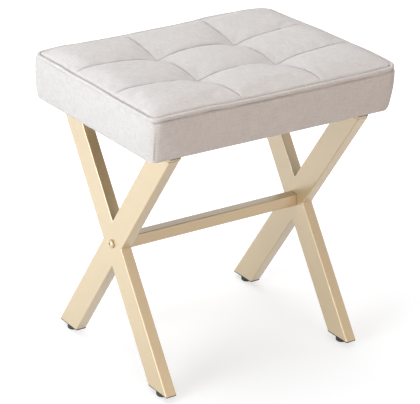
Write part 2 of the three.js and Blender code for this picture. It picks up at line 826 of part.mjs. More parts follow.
addFrames();
addStretcher();
addFeet();
addBoard();
addPad();
addBand();
addWelt();
addDustCover();
addSeatFasteners();
addTwines();

export default stool;
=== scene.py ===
# Vanity stool: a quilted, boxed seat pad on two welded steel X frames, tied by one stretcher.
# It is dressed in the order in which it goes together, from the frames up. Lengths are in metres.
import math
import bmesh
import bpy
import numpy as np
from mathutils import Matrix, Vector


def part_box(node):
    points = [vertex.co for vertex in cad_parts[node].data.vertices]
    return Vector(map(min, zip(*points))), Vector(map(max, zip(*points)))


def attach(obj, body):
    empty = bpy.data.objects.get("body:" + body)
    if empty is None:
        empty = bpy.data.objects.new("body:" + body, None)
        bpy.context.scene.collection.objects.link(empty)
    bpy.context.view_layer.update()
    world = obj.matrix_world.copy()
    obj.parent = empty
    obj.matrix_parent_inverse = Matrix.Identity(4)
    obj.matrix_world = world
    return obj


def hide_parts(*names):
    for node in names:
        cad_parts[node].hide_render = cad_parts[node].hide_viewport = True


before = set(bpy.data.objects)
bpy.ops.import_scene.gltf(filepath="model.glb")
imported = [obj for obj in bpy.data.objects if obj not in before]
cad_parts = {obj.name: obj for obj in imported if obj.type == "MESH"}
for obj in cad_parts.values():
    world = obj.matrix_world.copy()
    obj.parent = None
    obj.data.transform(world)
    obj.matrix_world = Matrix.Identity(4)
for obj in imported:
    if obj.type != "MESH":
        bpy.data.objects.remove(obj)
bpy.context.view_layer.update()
sides = ("left", "right")
ends = ("front", "back")
feet = [(end, side) for side in sides for end in ends]

# X frames
# Two bars of rectangular steel tube cross in one plane. One runs through, and the two halves of the
# other are coped to its sides, welded, ground flush and powder-coated in satin champagne.

tube_width = 0.0425
tube_wall = 0.0015
tube_edge = 0.0018
flat_land = 0.0004  # a narrow strip beside each rounded edge, so that the flats shade as flats
edge_steps = 6
crossing_hole = 0.0043
hole_sides = 32
notch_corners = (0, 3, 6, 9)  # of the twelve corners of an X
cut_corners = (1, 4, 7, 10)
half_up = 0.001  # added before rounding, so that a half goes up
same_point = 1e-6  # points nearer than this are joined
paint_tone = (0.555, 0.405, 0.21)
paint_light_tone = (0.585, 0.44, 0.24)

leg_low, leg_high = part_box("left_through_leg")
tube_depth = leg_high.x - leg_low.x
leg_foot = leg_low.z
leg_top = leg_high.z
leg_reach = leg_high.y
crossing = sum(corner.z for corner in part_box("stretcher")) / 2
lean = math.acos(tube_width / 2 / math.hypot(leg_top - crossing, leg_reach)) - math.atan2(
    leg_top - crossing, leg_reach
)


def add_node(tree, kind, inputs=None, out=0, **settings):
    """Adds a node and gives its first output, the one that out names, or all of them for None. Settings
    are the node's own, and inputs are values or the outputs that feed it."""
    made = tree.nodes.new(kind)
    for key, value in settings.items():
        setattr(made, key, value)
    for key, value in (inputs or {}).items():
        if isinstance(value, bpy.types.NodeSocket):
            tree.links.new(value, made.inputs[key])
        else:
            made.inputs[key].default_value = value
    return made.outputs if out is None else made.outputs[out]


def start_material(name, **shader_values):
    """A material with its shader set, and the places on the piece that its patterns follow."""
    material = bpy.data.materials.new(name)
    material.use_nodes = True
    tree = material.node_tree
    shader = tree.nodes["Principled BSDF"]
    for key, value in shader_values.items():
        shader.inputs[key.replace("_", " ")].default_value = value
    place = add_node(tree, "ShaderNodeTexCoord", out="Object")
    return material, tree, shader, place


def noise(tree, place, scale, detail=2.0, **more):
    """Uneven patches, this many to the metre."""
    return add_node(tree, "ShaderNodeTexNoise", {"Vector": place, "Scale": scale, "Detail": detail, **more})


def combine(tree, operation, *values):
    """One value worked out from others."""
    return add_node(tree, "ShaderNodeMath", dict(enumerate(values)), operation=operation)


def blend_tones(tree, share, tone, other_tone):
    """One tone where the share is 0 and the other where it is 1."""
    inputs = {0: share, 6: (*tone, 1), 7: (*other_tone, 1)}
    return add_node(tree, "ShaderNodeMix", inputs, 2, data_type="RGBA")


def spread_range(tree, value, low, high, new_low, new_high):
    """A value stretched from one range to another, and held inside it."""
    inputs = {"Value": value, "From Min": low, "From Max": high, "To Min": new_low, "To Max": new_high}
    return add_node(tree, "ShaderNodeMapRange", inputs)


def tint(tree, shader, share, tone, other_tone):
    """Colours a material between two tones."""
    tree.links.new(blend_tones(tree, share, tone, other_tone), shader.inputs["Base Color"])


def vary_gloss(tree, shader, pattern, smoothest, roughest):
    """Makes a material's roughness follow a pattern."""
    gloss = spread_range(tree, pattern, 0.3, 0.7, smoothest, roughest)
    tree.links.new(gloss, shader.inputs["Roughness"])


def add_bump(tree, shader, height, depth, strength):
    """Small relief on the surface, this deep where the height is 1."""
    bump = add_node(tree, "ShaderNodeBump", {"Height": height, "Distance": depth, "Strength": strength})
    tree.links.new(bump, shader.inputs["Normal"])


def make_champagne_paint():
    """Powder coat: a fine orange peel under a satin gloss, with slow drifts of tone."""
    material, tree, shader, place = start_material(
        "champagne_paint", Metallic=0.28, IOR=1.5, Coat_Weight=1.0, Coat_Roughness=0.25, Coat_IOR=1.85
    )
    tint(tree, shader, noise(tree, place, 14.0, 3.0), paint_tone, paint_light_tone)
    vary_gloss(tree, shader, noise(tree, place, 90.0), 0.34, 0.42)
    add_bump(tree, shader, noise(tree, place, 900.0), 0.00005, 0.5)
    return material


def make_piece(name, vertices, faces, material, sharp_angle=35, cloth=None, round_cloth=(0, 0)):
    """A closed mesh with its faces turned out. cloth gives each vertex's place on the flat cloth, and
    round_cloth how long the cloth is each way before it meets itself, or 0 where it doesn't."""
    mesh = bpy.data.meshes.new(name)
    mesh.from_pydata([tuple(vertex) for vertex in vertices], [], faces)
    if cloth is not None:
        places = np.zeros((len(vertices), 3), np.float32)
        places[:, :2] = cloth
        mesh.attributes.new("cloth", "FLOAT_VECTOR", "POINT").data.foreach_set("vector", places.ravel())
    shaper = bmesh.new()
    shaper.from_mesh(mesh)
    bmesh.ops.remove_doubles(shaper, verts=shaper.verts, dist=same_point)
    bmesh.ops.recalc_face_normals(shaper, faces=shaper.faces)
    shaper.to_mesh(mesh)
    shaper.free()
    if cloth is not None:
        lay_weave(mesh, round_cloth)
    mesh.shade_smooth()
    mesh.set_sharp_from_angle(angle=math.radians(sharp_angle))
    mesh.materials.append(material)
    piece = bpy.data.objects.new(name, mesh)
    bpy.context.collection.objects.link(piece)
    return piece


def read_all(items, name, count, kind=np.float32):
    """One property of every item of a mesh, as an array."""
    values = np.zeros(count, kind)
    items.foreach_get(name, values)
    return values


def lay_weave(mesh, round_cloth):
    """Gives a mesh its UV map, in metres, from each point's place on the flat cloth."""
    places = read_all(mesh.attributes["cloth"].data, "vector", len(mesh.vertices) * 3)
    corner_point = read_all(mesh.loops, "vertex_index", len(mesh.loops), np.int32)
    first_corner = read_all(mesh.polygons, "loop_start", len(mesh.polygons), np.int32)
    corner_count = read_all(mesh.polygons, "loop_total", len(mesh.polygons), np.int32)
    spots = places.reshape(-1, 3)[corner_point, :2]
    for axis, length in enumerate(round_cloth):
        if length:
            highest = np.repeat(np.maximum.reduceat(spots[:, axis], first_corner), corner_count)
            spots[:, axis] += np.where(highest - spots[:, axis] > length / 2, length, 0)
    mesh.uv_layers.new(name="weave").uv.foreach_set("vector", spots.ravel())


def tube_section(half_depth, wall_inset, edge_radius):
    """From one face of a bar round to the other: places through its depth, and how far in from its side."""
    land = edge_radius + flat_land
    section = [(half_depth, wall_inset + land)]
    for step in range(edge_steps + 1):
        turn = math.radians(90) * step / edge_steps
        through = half_depth - edge_radius * (1 - math.cos(turn))
        section.append((through, wall_inset + edge_radius * (1 - math.sin(turn))))
    section.append((half_depth - land, wall_inset))
    return section + [(-through, inset) for through, inset in reversed(section)]


def x_outline(half_width):
    """The corners of an X of two bars, by (y, z), from the right-hand notch anticlockwise."""
    across = half_width / math.cos(lean)
    notch = half_width / math.sin(lean)
    top = (leg_top - crossing) * math.tan(lean)
    foot = (crossing - leg_foot) * math.tan(lean)
    return [
        (across, crossing),
        (top + across, leg_top),
        (top - across, leg_top),
        (0, crossing + notch),
        (across - top, leg_top),
        (-across - top, leg_top),
        (-across, crossing),
        (-across - foot, leg_foot),
        (across - foot, leg_foot),
        (0, crossing - notch),
        (foot - across, leg_foot),
        (foot + across, leg_foot),
    ]


def x_frame(middle_x):
    """A hollow X of two bars, with open ends and a hole for the stretcher's bolt."""
    vertices = []
    faces = []
    skins = []
    for wall_inset, edge_radius in ((0, tube_edge), (tube_wall, tube_edge - tube_wall)):
        section = tube_section(tube_depth / 2 - wall_inset, wall_inset, edge_radius)
        start = len(vertices)
        for through, inset in section:
            outline = x_outline(tube_width / 2 - inset)
            vertices += [(middle_x + through, y, z) for y, z in outline]
        corners = len(outline)
        holes = []
        for through in (section[0][0], section[-1][0]):
            holes.append(len(vertices))
            for step in range(hole_sides):
                turn = math.tau * step / hole_sides
                y = crossing_hole * math.cos(turn)
                z = crossing + crossing_hole * math.sin(turn)
                vertices.append((middle_x + through, y, z))
        skins.append((start, len(section), holes))
        for ring in range(len(section) - 1):
            low = start + ring * corners
            high = low + corners
            for corner in range(corners):
                if corner not in cut_corners:
                    after = (corner + 1) % corners
                    faces.append((low + corner, low + after, high + after, high + corner))
        for ring, hole in ((0, holes[0]), (len(section) - 1, holes[1])):
            low = start + ring * corners
            for arm in notch_corners:
                faces.append((low + arm, low + arm + 1, low + arm + 2, low + (arm + 3) % corners))
            for step in range(hole_sides):
                after = (step + 1) % hole_sides
                nearest = [round(4 * place / hole_sides + half_up) % 4 for place in (step, after)]
                quarter, next_quarter = [notch_corners[number] for number in nearest]
                faces.append((hole + step, hole + after, low + quarter))
                if next_quarter != quarter:
                    faces.append((hole + after, low + next_quarter, low + quarter))
    (outer, count, outer_holes), (inner, _, inner_holes) = skins
    loops = []
    for corner in cut_corners:
        there = [ring * corners + corner for ring in range(count)]
        round_end = there + [place + 1 for place in reversed(there)]
        loops.append([(outer + place, inner + place) for place in round_end])
    for outer_hole, inner_hole in zip(outer_holes, inner_holes):
        loops.append([(outer_hole + step, inner_hole + step) for step in range(hole_sides)])
    for loop in loops:
        for (outside, inside), (next_outside, next_inside) in zip(loop, loop[1:] + loop[:1]):
            faces.append((outside, next_outside, next_inside, inside))
    return vertices, faces


champagne_paint = make_champagne_paint()
for side in sides:
    low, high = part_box(f"{side}_through_leg")
    x_piece = make_piece(f"x_frame_{side}", *x_frame((low.x + high.x) / 2), champagne_paint)
    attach(x_piece, "stool")
    bars = ("through_leg", "upper_half_leg", "lower_half_leg")
    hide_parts(*[f"{side}_{bar}" for bar in bars])

# Top bars
# A flat steel bar is welded across the two leg tops of each X and drilled for two seat bolts.
# It has eased edges and the same coat as the frame.

bar_ease = 0.0006
ease_middle = 0.3  # how far in and down the middle of a rounded ease lies
bar_corner = 0.003
bar_corner_steps = 6
bar_clip_across = 0.013  # as far as the bar stands past the leg's inner face
bar_clip_along = 0.020
seat_bolt_hole = 0.0033
drill_overrun = 0.01


def circle_ring(radius, height, count):
    """A circle round Z at one height."""
    turns = [math.tau * step / count for step in range(count)]
    return [(radius * math.cos(turn), radius * math.sin(turn), height) for turn in turns]


def turned(profile, count):
    """The rings of a turned shape, from pairs of a radius and a height."""
    return [circle_ring(radius, height, count) for radius, height in profile]


def loft(rings, wrapped=False):
    """A skin over rings of one count, closed by a middle point at each end or wrapped on itself."""
    count = len(rings[0])
    vertices = [point for ring in rings for point in ring]
    faces = []
    for ring in range(len(rings) if wrapped else len(rings) - 1):
        low = ring * count
        high = (ring + 1) % len(rings) * count
        for step in range(count):
            after = (step + 1) % count
            faces.append((low + step, low + after, high + after, high + step))
    if not wrapped:
        for start in (0, (len(rings) - 1) * count):
            middle = np.mean(vertices[start : start + count], axis=0)
            vertices.append(tuple(middle))
            for step in range(count):
                faces.append((start + step, start + (step + 1) % count, len(vertices) - 1))
    return vertices, faces


def clipped_ring(low, high, inward, inset, height):
    """A bar's outline at one height: rounded outer corners, and inner corners clipped aslant."""
    slant = math.atan2(bar_clip_along, bar_clip_across)
    across = bar_clip_across - inset * (1 - math.tan(slant / 2))
    along = bar_clip_along - inset * (1 - math.tan(math.radians(45) - slant / 2))
    x_out, x_in = (low.x, high.x) if inward > 0 else (high.x, low.x)
    x_out += inward * inset
    x_in -= inward * inset
    ring = []
    for end in (1, -1):
        y = (high.y if end > 0 else -low.y) - inset + (height - low.z) * math.tan(lean)
        corner = []
        for step in range(bar_corner_steps + 1):
            turn = math.radians(90) * step / bar_corner_steps
            x = x_out + inward * bar_corner * (1 - math.cos(turn))
            corner.append((x, end * (y - bar_corner * (1 - math.sin(turn))), height))
        corner.append((x_in - inward * across, end * y, height))
        corner.append((x_in, end * (y - along), height))
        ring += corner if end > 0 else corner[::-1]
    return ring


def eased_bar(low, high, inward):
    """A flat bar with eased edges, its inner corners clipped so that no end shows past the leg."""
    levels = [(bar_ease, 0), (bar_ease * ease_middle, bar_ease * ease_middle), (0, bar_ease)]
    rings = [(inset, low.z + rise) for inset, rise in levels]
    rings += [(inset, high.z - drop) for inset, drop in reversed(levels)]
    return loft([clipped_ring(low, high, inward, inset, height) for inset, height in rings])


def cut_from(piece, cutter):
    """Cuts one mesh out of another for good."""
    cut = piece.modifiers.new("cut", "BOOLEAN")
    cut.operation = "DIFFERENCE"
    cut.solver = "EXACT"
    cut.object = cutter
    graph = bpy.context.evaluated_depsgraph_get()
    piece.data = bpy.data.meshes.new_from_object(piece.evaluated_get(graph))
    piece.modifiers.remove(cut)
    bpy.data.objects.remove(cutter)


for side, inward in (("left", 1), ("right", -1)):
    low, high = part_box(f"{side}_top_bar")
    bar = make_piece(f"top_bar_{side}_plate", *eased_bar(low, high, inward), champagne_paint)
    for end in ends:
        bolt_low, bolt_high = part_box(f"seat_bolt_{end}_{side}")
        middle = (bolt_low + bolt_high) / 2
        profile = [(seat_bolt_hole, low.z - drill_overrun), (seat_bolt_hole, high.z + drill_overrun)]
        drill = make_piece("drill", *loft(turned(profile, hole_sides)), champagne_paint)
        drill.data.transform(Matrix.Translation((middle.x, middle.y, 0)))
        cut_from(bar, drill)
    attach(bar, "stool")
    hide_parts(f"{side}_top_bar")

# Weld beads
# A small rippled fillet fills each notch of the X, and another runs under the top bar on the inside
# of each leg. The other joints are ground flush before painting, so no bead shows there.

bead_radius = 0.0017
bead_pitch = 0.0011
bead_sides = 8
bead_length_share = 0.62
bead_rise_share = 0.1  # of its radius, out of the notch
bead_sink_share = 0.3  # and under the top bar


def make_copy_tree(name, along_paths):
    """A tree that sets a copy on each point, or copies at an even pitch along paths and headed along
    them, with a little spread in turn and size."""
    tree = bpy.data.node_groups.new(name, "GeometryNodeTree")
    for label, kind in copy_inputs.items():
        tree.interface.new_socket(label, in_out="INPUT", socket_type=f"NodeSocket{kind}")
    tree.interface.new_socket("Pieces", in_out="OUTPUT", socket_type="NodeSocketGeometry")
    given = tree.nodes.new("NodeGroupInput").outputs
    turn = add_node(tree, "FunctionNodeEulerToRotation")
    if along_paths:
        curve = add_node(tree, "GeometryNodeMeshToCurve", {"Mesh": given["Base"]})
        evenly = {"Curve": curve, "Length": given["Pitch"]}
        points = add_node(tree, "GeometryNodeResampleCurve", evenly, mode="LENGTH")
        tangent = add_node(tree, "GeometryNodeInputTangent")
        for pivot in ("Z", "Y"):
            aim = {"Rotation": turn, "Vector": tangent}
            turn = add_node(tree, "FunctionNodeAlignRotationToVector", aim, axis="X", pivot_axis=pivot)
    else:
        points = add_node(tree, "GeometryNodeMeshToPoints", {"Mesh": given["Base"]})
    item = add_node(tree, "GeometryNodeObjectInfo", {"Object": given["Copied piece"]}, "Geometry")
    amount = {"Min": (-1, -1, -1), "Max": (1, 1, 1), "Seed": given["Seed"]}
    chance = add_node(tree, "FunctionNodeRandomValue", amount, data_type="FLOAT_VECTOR")
    spread = {0: chance, "Scale": given["Tilt spread"]}
    tilt = add_node(tree, "ShaderNodeVectorMath", spread, operation="SCALE")
    leaning = {"Rotation": turn, "Rotate By": tilt}
    tilted = add_node(tree, "FunctionNodeRotateRotation", leaning, rotation_space="LOCAL")
    least_to_most = {2: given["Least size"], 3: given["Most size"], "Seed": given["Seed"]}
    size = add_node(tree, "FunctionNodeRandomValue", least_to_most, 1)
    placed = {"Points": points, "Instance": item, "Rotation": tilted, "Scale": size}
    copies = add_node(tree, "GeometryNodeInstanceOnPoints", placed)
    real = add_node(tree, "GeometryNodeRealizeInstances", {"Geometry": copies})
    finish = {"Geometry": real, "Material": given["Finish"]}
    made = add_node(tree, "GeometryNodeSetMaterial", finish)
    tree.links.new(made, tree.nodes.new("NodeGroupOutput").inputs["Pieces"])
    return tree


copy_inputs = {
    "Base": "Geometry",
    "Pitch": "Float",
    "Copied piece": "Object",
    "Finish": "Material",
    "Tilt spread": "Float",
    "Least size": "Float",
    "Most size": "Float",
    "Seed": "Int",
}


def run_tree(name, tree, base, pattern, finish, seed, tilt=0.0, sizes=(1.0, 1.0), pitch=0.0):
    """Runs a tree on a base mesh, and keeps what it makes as a plain mesh."""
    mesh = bpy.data.meshes.new(name)
    mesh.from_pydata(*base)
    piece = bpy.data.objects.new(name, mesh)
    bpy.context.collection.objects.link(piece)
    maker = piece.modifiers.new("maker", "NODES")
    maker.node_group = tree
    values = dict(zip(list(copy_inputs)[1:], (pitch, pattern, finish, tilt, *sizes, seed)))
    for item in tree.interface.items_tree:
        if item.in_out == "INPUT" and item.name in values:
            maker[item.identifier] = values[item.name]
    graph = bpy.context.evaluated_depsgraph_get()
    piece.data = bpy.data.meshes.new_from_object(piece.evaluated_get(graph))
    piece.modifiers.clear()
    piece.data.shade_smooth()
    return piece


def hide_pattern(piece):
    """Takes away a piece that was only there to be copied."""
    bpy.data.objects.remove(piece)


def joined_paths(paths):
    """Vertices, edges and no faces for a run over several open or closed paths."""
    vertices = []
    edges = []
    for points, closed in paths:
        start = len(vertices)
        vertices += [tuple(point) for point in points]
        edges += [(start + step, start + step + 1) for step in range(len(points) - 1)]
        if closed:
            edges.append((start + len(points) - 1, start))
    return vertices, edges, []


path_tree = make_copy_tree("copies along paths", True)
bead_rings = []
for step in range(1, bead_sides // 2):
    turn = math.pi * step / (bead_sides // 2)
    ring = circle_ring(bead_radius * math.sin(turn), -bead_radius * math.cos(turn), bead_sides)
    bead_rings.append([(bead_length_share * x, y, z) for x, y, z in ring])
bead = make_piece("bead", *loft(bead_rings), champagne_paint, 180)
half_run = tube_depth / 2 - tube_edge
leg_slant = tube_width / 2 / math.cos(lean)
run_end = leg_slant - bead_radius - tube_edge
notch_outline = x_outline(tube_width / 2 + bead_radius * bead_rise_share)
for side, inward in (("left", 1), ("right", -1)):
    low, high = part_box(f"{side}_through_leg")
    middle_x = (low.x + high.x) / 2
    paths = []
    for corner in notch_corners:
        y, z = notch_outline[corner]
        paths.append(([(middle_x - half_run, y, z), (middle_x + half_run, y, z)], False))
    inner_x = middle_x + inward * tube_depth / 2
    bar_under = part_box(f"{side}_top_bar")[0].z
    seam_height = (leg_top + bar_under) / 2 - bead_radius * bead_sink_share
    for leg_y in (leg_slant - leg_reach, leg_reach - leg_slant):
        paths.append(([(inner_x, leg_y + way * run_end, seam_height) for way in (-1, 1)], False))
    run = (f"weld_beads_{side}", path_tree, joined_paths(paths))
    beads = run_tree(*run, bead, champagne_paint, 4, tilt=0.12, sizes=(0.9, 1.1), pitch=bead_pitch)
    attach(beads, "stool")
hide_pattern(bead)

# Stretcher
# A length of square steel tube between the two crossings, with rounded edges and the frame's coat.
# A threaded steel plug is welded in each end, and a bush in each leg tube takes the bolt's squeeze.

def rectangle_ring(half_x, half_y, radius, height, steps, middle=(0, 0)):
    """A rectangle with rounded corners at one height, with a land beside each corner."""
    ring = []
    for corner, (sign_x, sign_y) in enumerate(((1, 1), (-1, 1), (-1, -1), (1, -1))):
        x = middle[0] + sign_x * (half_x - radius)
        y = middle[1] + sign_y * (half_y - radius)
        points = []
        for step in range(steps + 1):
            turn = math.radians(90) * (corner + step / steps)
            points.append((x + radius * math.cos(turn), y + radius * math.sin(turn), height))
        first = math.radians(90) * corner
        before = (flat_land * math.sin(first), -flat_land * math.cos(first))
        after = (-flat_land * math.cos(first), -flat_land * math.sin(first))
        points.insert(0, (points[0][0] + before[0], points[0][1] + before[1], height))
        points.append((points[-1][0] + after[0], points[-1][1] + after[1], height))
        ring += points
    return ring


stretcher_low, stretcher_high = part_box("stretcher")
stretcher_half = (stretcher_high.y - stretcher_low.y) / 2
stretcher_bore = stretcher_half - tube_wall
stretcher_rings = []
for half, edge, heights in (
    (stretcher_half, tube_edge, (stretcher_low.x, stretcher_high.x)),
    (stretcher_bore, tube_edge - tube_wall, (stretcher_high.x, stretcher_low.x)),
):
    for height in heights:
        stretcher_rings.append(rectangle_ring(half, half, edge, height, edge_steps))
stretcher_tube = make_piece("stretcher_tube", *loft(stretcher_rings, wrapped=True), champagne_paint)
along_x = Matrix.Rotation(math.radians(90), 4, "Y")
stretcher_tube.data.transform(Matrix.Translation((0, 0, crossing)) @ along_x)
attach(stretcher_tube, "stool")
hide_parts("stretcher")


def make_zinc():
    """Bright zinc plate: a faint fine grain and a mottled blue-grey bloom."""
    material, tree, shader, place = start_material("zinc_plate", Metallic=0.9)
    mottle = noise(tree, place, 260.0, 4.0)
    tint(tree, shader, mottle, (0.50, 0.51, 0.52), (0.68, 0.68, 0.66))
    vary_gloss(tree, shader, mottle, 0.24, 0.42)
    add_bump(tree, shader, noise(tree, place, 2400.0), 0.00002, 0.4)
    return material


def finish_node(name, material):
    """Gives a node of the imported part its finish."""
    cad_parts[name].material_slots[0].material = material


zinc_plate = make_zinc()
for side in sides:
    finish_node(f"stretcher_plug_{side}", zinc_plate)
    finish_node(f"stretcher_bush_{side}", zinc_plate)

# Bolts at the crossings
# An M8 button-head bolt goes through each crossing into the stretcher's plug. Its head is domed,
# with a hexagon socket, and painted with the frame; the socket stays darker inside.

head_radius = 0.007
head_height = 0.0044
head_flat = 0.0034
socket_half = 0.0025
socket_depth = 0.0026
socket_ease = 0.0003
socket_floor = ((0.9, 0.0002), (0.2, 0.0008))  # share of the socket's width, and how far down
bolt_turn = 12  # degrees
shank_radius = 0.0039
shank_ease = 0.0006
head_rim = 0.0004
neck_ease = 0.0002
turned_sides = 48
dome_steps = 8


def hexagon_ring(half_flats, height, count):
    """A hexagon round Z at one height, with its corners on the ring's own points."""
    ring = []
    for step in range(count):
        turn = math.tau * step / count
        from_flat = (turn + math.radians(30)) % math.radians(60) - math.radians(30)
        reach = half_flats / math.cos(from_flat)
        ring.append((reach * math.cos(turn), reach * math.sin(turn), height))
    return ring


def button_bolt(radius, flat, height, half_flats, depth, shank, length):
    """A bolt with its head up +Z from the origin, its hexagon socket and its shank below."""
    profile = [
        (shank - shank_ease, -length),
        (shank, shank_ease + neck_ease - length),
        (shank, -neck_ease),
        (shank + neck_ease, 0),
        (radius - head_rim, 0),
        (radius, head_rim),
    ]
    for step in range(1, dome_steps + 1):
        turn = math.radians(90) * step / dome_steps
        reach = flat + (radius - flat) * math.cos(turn)
        profile.append((reach, head_rim + (height - head_rim) * math.sin(turn)))
    rings = turned(profile, turned_sides)
    for half, down in ((half_flats + socket_ease, 0), (half_flats, socket_ease), (half_flats, depth)):
        rings.append(hexagon_ring(half, height - down, turned_sides))
    bottom = [(half_flats * share, height - depth - down) for share, down in socket_floor]
    return loft(rings + turned(bottom, turned_sides))


for side, sign in (("left", -1), ("right", 1)):
    low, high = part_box(f"stretcher_bolt_{side}")
    outermost = low.x if sign < 0 else high.x
    shank_length = high.x - low.x - head_height
    bolt_shape = button_bolt(
        head_radius, head_flat, head_height, socket_half, socket_depth, shank_radius, shank_length
    )
    bolt = make_piece(f"crossing_bolt_{side}", *bolt_shape, champagne_paint)
    outwards = Matrix.Rotation(sign * math.radians(90), 4, "Y")
    seat = Matrix.Translation((outermost - sign * head_height, 0, crossing))
    bolt.data.transform(seat @ outwards @ Matrix.Rotation(math.radians(bolt_turn), 4, "Z"))
    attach(bolt, "stool")
    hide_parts(f"stretcher_bolt_{side}")

# Foot caps
# A black moulded cap closes each cut leg end: a thin flange with the outline of the slanted cut, and
# a plug that leans with the leg and holds the glide's nut in a hexagon pocket.

cap_ease = 0.0005
cap_gap = 0.0003
nut_seat = 0.004
nut_pocket_half = 0.0053
stud_hole = 0.0036
plug_lead = (0.0008, 0.002)  # how far the plug's end draws in, and over what height
cap_steps = 3


def make_black_plastic():
    """Moulded nylon: a fine spark-eroded grain, and paler scuffs low down where the feet meet the floor."""
    material, tree, shader, place = start_material("black_plastic")
    grain = noise(tree, place, 2200.0)
    height = add_node(tree, "ShaderNodeSeparateXYZ", {"Vector": place}, "Z")
    low_down = spread_range(tree, height, 0.0, 0.004, 1.0, 0.0)
    patchy = spread_range(tree, noise(tree, place, 420.0, 5.0), 0.5, 0.68, 0.0, 1.0)
    worn = combine(tree, "MULTIPLY", low_down, patchy)
    tint(tree, shader, worn, (0.016, 0.016, 0.017), (0.075, 0.072, 0.068))
    vary_gloss(tree, shader, grain, 0.42, 0.58)
    add_bump(tree, shader, grain, 0.00004, 0.6)
    return material


def foot_cap(low_z, high_z):
    """A cap for a leg that leans back, with its foot at the origin."""
    half_x = tube_depth / 2
    plug_x = half_x - tube_wall - cap_gap
    plug_y = (tube_width / 2 - tube_wall - cap_gap) / math.cos(lean)
    flange_top = leg_foot - cap_gap
    pocket_floor = leg_foot + nut_seat - cap_gap
    flange = ((cap_ease, low_z), (0, low_z + cap_ease), (0, flange_top - cap_ease), (cap_ease, flange_top))
    rings = []
    for inset, height in flange:
        half_y = leg_slant - inset
        rings.append(rectangle_ring(half_x - inset, half_y, tube_edge, height, cap_steps))
    for inset, height in ((0, flange_top), (0, high_z - plug_lead[1]), (plug_lead[0], high_z)):
        middle = (0, (height - leg_foot) * math.tan(lean))
        sizes = (plug_x - inset, plug_y - inset, tube_edge - tube_wall)
        rings.append(rectangle_ring(*sizes, height, cap_steps, middle))
    count = len(rings[0])
    rings += [hexagon_ring(nut_pocket_half, height, count) for height in (high_z, pocket_floor)]
    return loft(rings + turned([(stud_hole, pocket_floor), (stud_hole, low_z)], count), wrapped=True)


black_plastic = make_black_plastic()
foot_places = {}
for end, side in feet:
    low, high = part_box(f"glide_pad_{end}_{side}")
    foot_places[(end, side)] = ((low.x + high.x) / 2, (low.y + high.y) / 2)
    cap_low, cap_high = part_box(f"foot_cap_{end}_{side}")
    cap = make_piece(f"leg_cap_{end}_{side}", *foot_cap(cap_low.z, cap_high.z), black_plastic)
    turn = 0 if end == "front" else math.pi
    place = Matrix.Translation((*foot_places[(end, side)], 0))
    cap.data.transform(place @ Matrix.Rotation(turn, 4, "Z"))
    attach(cap, "stool")
    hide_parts(f"foot_cap_{end}_{side}")
    finish_node(f"foot_nut_{end}_{side}", zinc_plate)

# Glide studs
# A zinc-plated M6 stud, with a coarse thread cut all the way down to the flat head that the pad
# holds. Turning it in the cap's nut screws the pad out to level the stool.

thread_pitch = 0.001
thread_outer = 0.00298
thread_inner = 0.00242
thread_fullness = 1.25  # over 1, so that the thread's crests are flat
rings_per_turn = 10
stud_sides = 24
stud_head_radius = 0.0042
stud_head_height = 0.0022
stud_head_ease = 0.0003


def threaded_stud(low_z, high_z):
    """A stud with a real helical thread above its flat head."""
    head_top = low_z + stud_head_height
    profile = [
        (stud_head_radius - stud_head_ease, low_z),
        (stud_head_radius, low_z + stud_head_ease),
        (stud_head_radius, head_top - stud_head_ease),
        (stud_head_radius - stud_head_ease, head_top),
        (thread_inner, head_top),
    ]
    rings = turned(profile, stud_sides)
    steps = round((high_z - head_top) / thread_pitch * rings_per_turn)
    for step in range(1, steps + 1):
        height = head_top + (high_z - head_top) * step / steps
        fade = min(1, (high_z - height) / thread_pitch, (height - head_top) / thread_pitch)
        ring = []
        for side_step in range(stud_sides):
            share = side_step / stud_sides
            crest = 1 - abs(2 * ((height / thread_pitch - share) % 1) - 1)
            reach = thread_inner + (thread_outer - thread_inner) * min(1, thread_fullness * crest) * fade
            turn = math.tau * share
            ring.append((reach * math.cos(turn), reach * math.sin(turn), height))
        rings.append(ring)
    return loft(rings)


for (end, side), place in foot_places.items():
    low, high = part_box(f"glide_stud_{end}_{side}")
    stud = make_piece(f"stud_thread_{end}_{side}", *threaded_stud(low.z, high.z), zinc_plate, 50)
    stud.data.transform(Matrix.Translation((*place, 0)))
    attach(stud, f"stud_{end}_{side}")
    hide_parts(f"glide_stud_{end}_{side}")

# Glide pads
# A round pad of black nylon swivels on the stud's head and stands on the floor. Its side curves in
# to a smaller flat foot, and a shallow groove is moulded round it for the fingers.

pad_foot_radius = 0.007
pad_foot_middle = 0.001
pad_foot_ease = 0.0004
pad_shoulder = 0.003
pad_top_ease = 0.0008
pad_curve_steps = 8
pad_pocket_floor = 0.002
pad_mouth = 0.0033
pad_pocket = 0.0045
pad_pocket_height = 0.0028
groove_depth = 0.00025
groove_rows = ((0.55, 0), (0.6, groove_depth), (0.68, groove_depth), (0.73, 0))
pad_sides = 64


def glide_pad(radius, height):
    """A turned pad on the floor, with a pocket for the stud's head."""
    profile = [(pad_foot_middle, 0), (pad_foot_radius - pad_foot_ease, 0)]
    for step in range(1, pad_curve_steps + 1):
        turn = math.radians(90) * step / pad_curve_steps
        reach = pad_foot_radius + (radius - pad_foot_radius) * math.sin(turn)
        profile.append((reach, pad_shoulder * (1 - math.cos(turn))))
    profile += [(radius - depth, height * share) for share, depth in groove_rows]
    for step in range(pad_curve_steps // 2 + 1):
        turn = math.radians(180) * step / pad_curve_steps
        reach = radius - pad_top_ease * (1 - math.cos(turn))
        profile.append((reach, height - pad_top_ease * (1 - math.sin(turn))))
    pocket_top = pad_pocket_floor + pad_pocket_height
    profile += [(pad_mouth, height), (pad_mouth, pocket_top), (pad_pocket, pocket_top)]
    profile.append((pad_pocket, pad_pocket_floor))
    return loft(turned(profile, pad_sides))


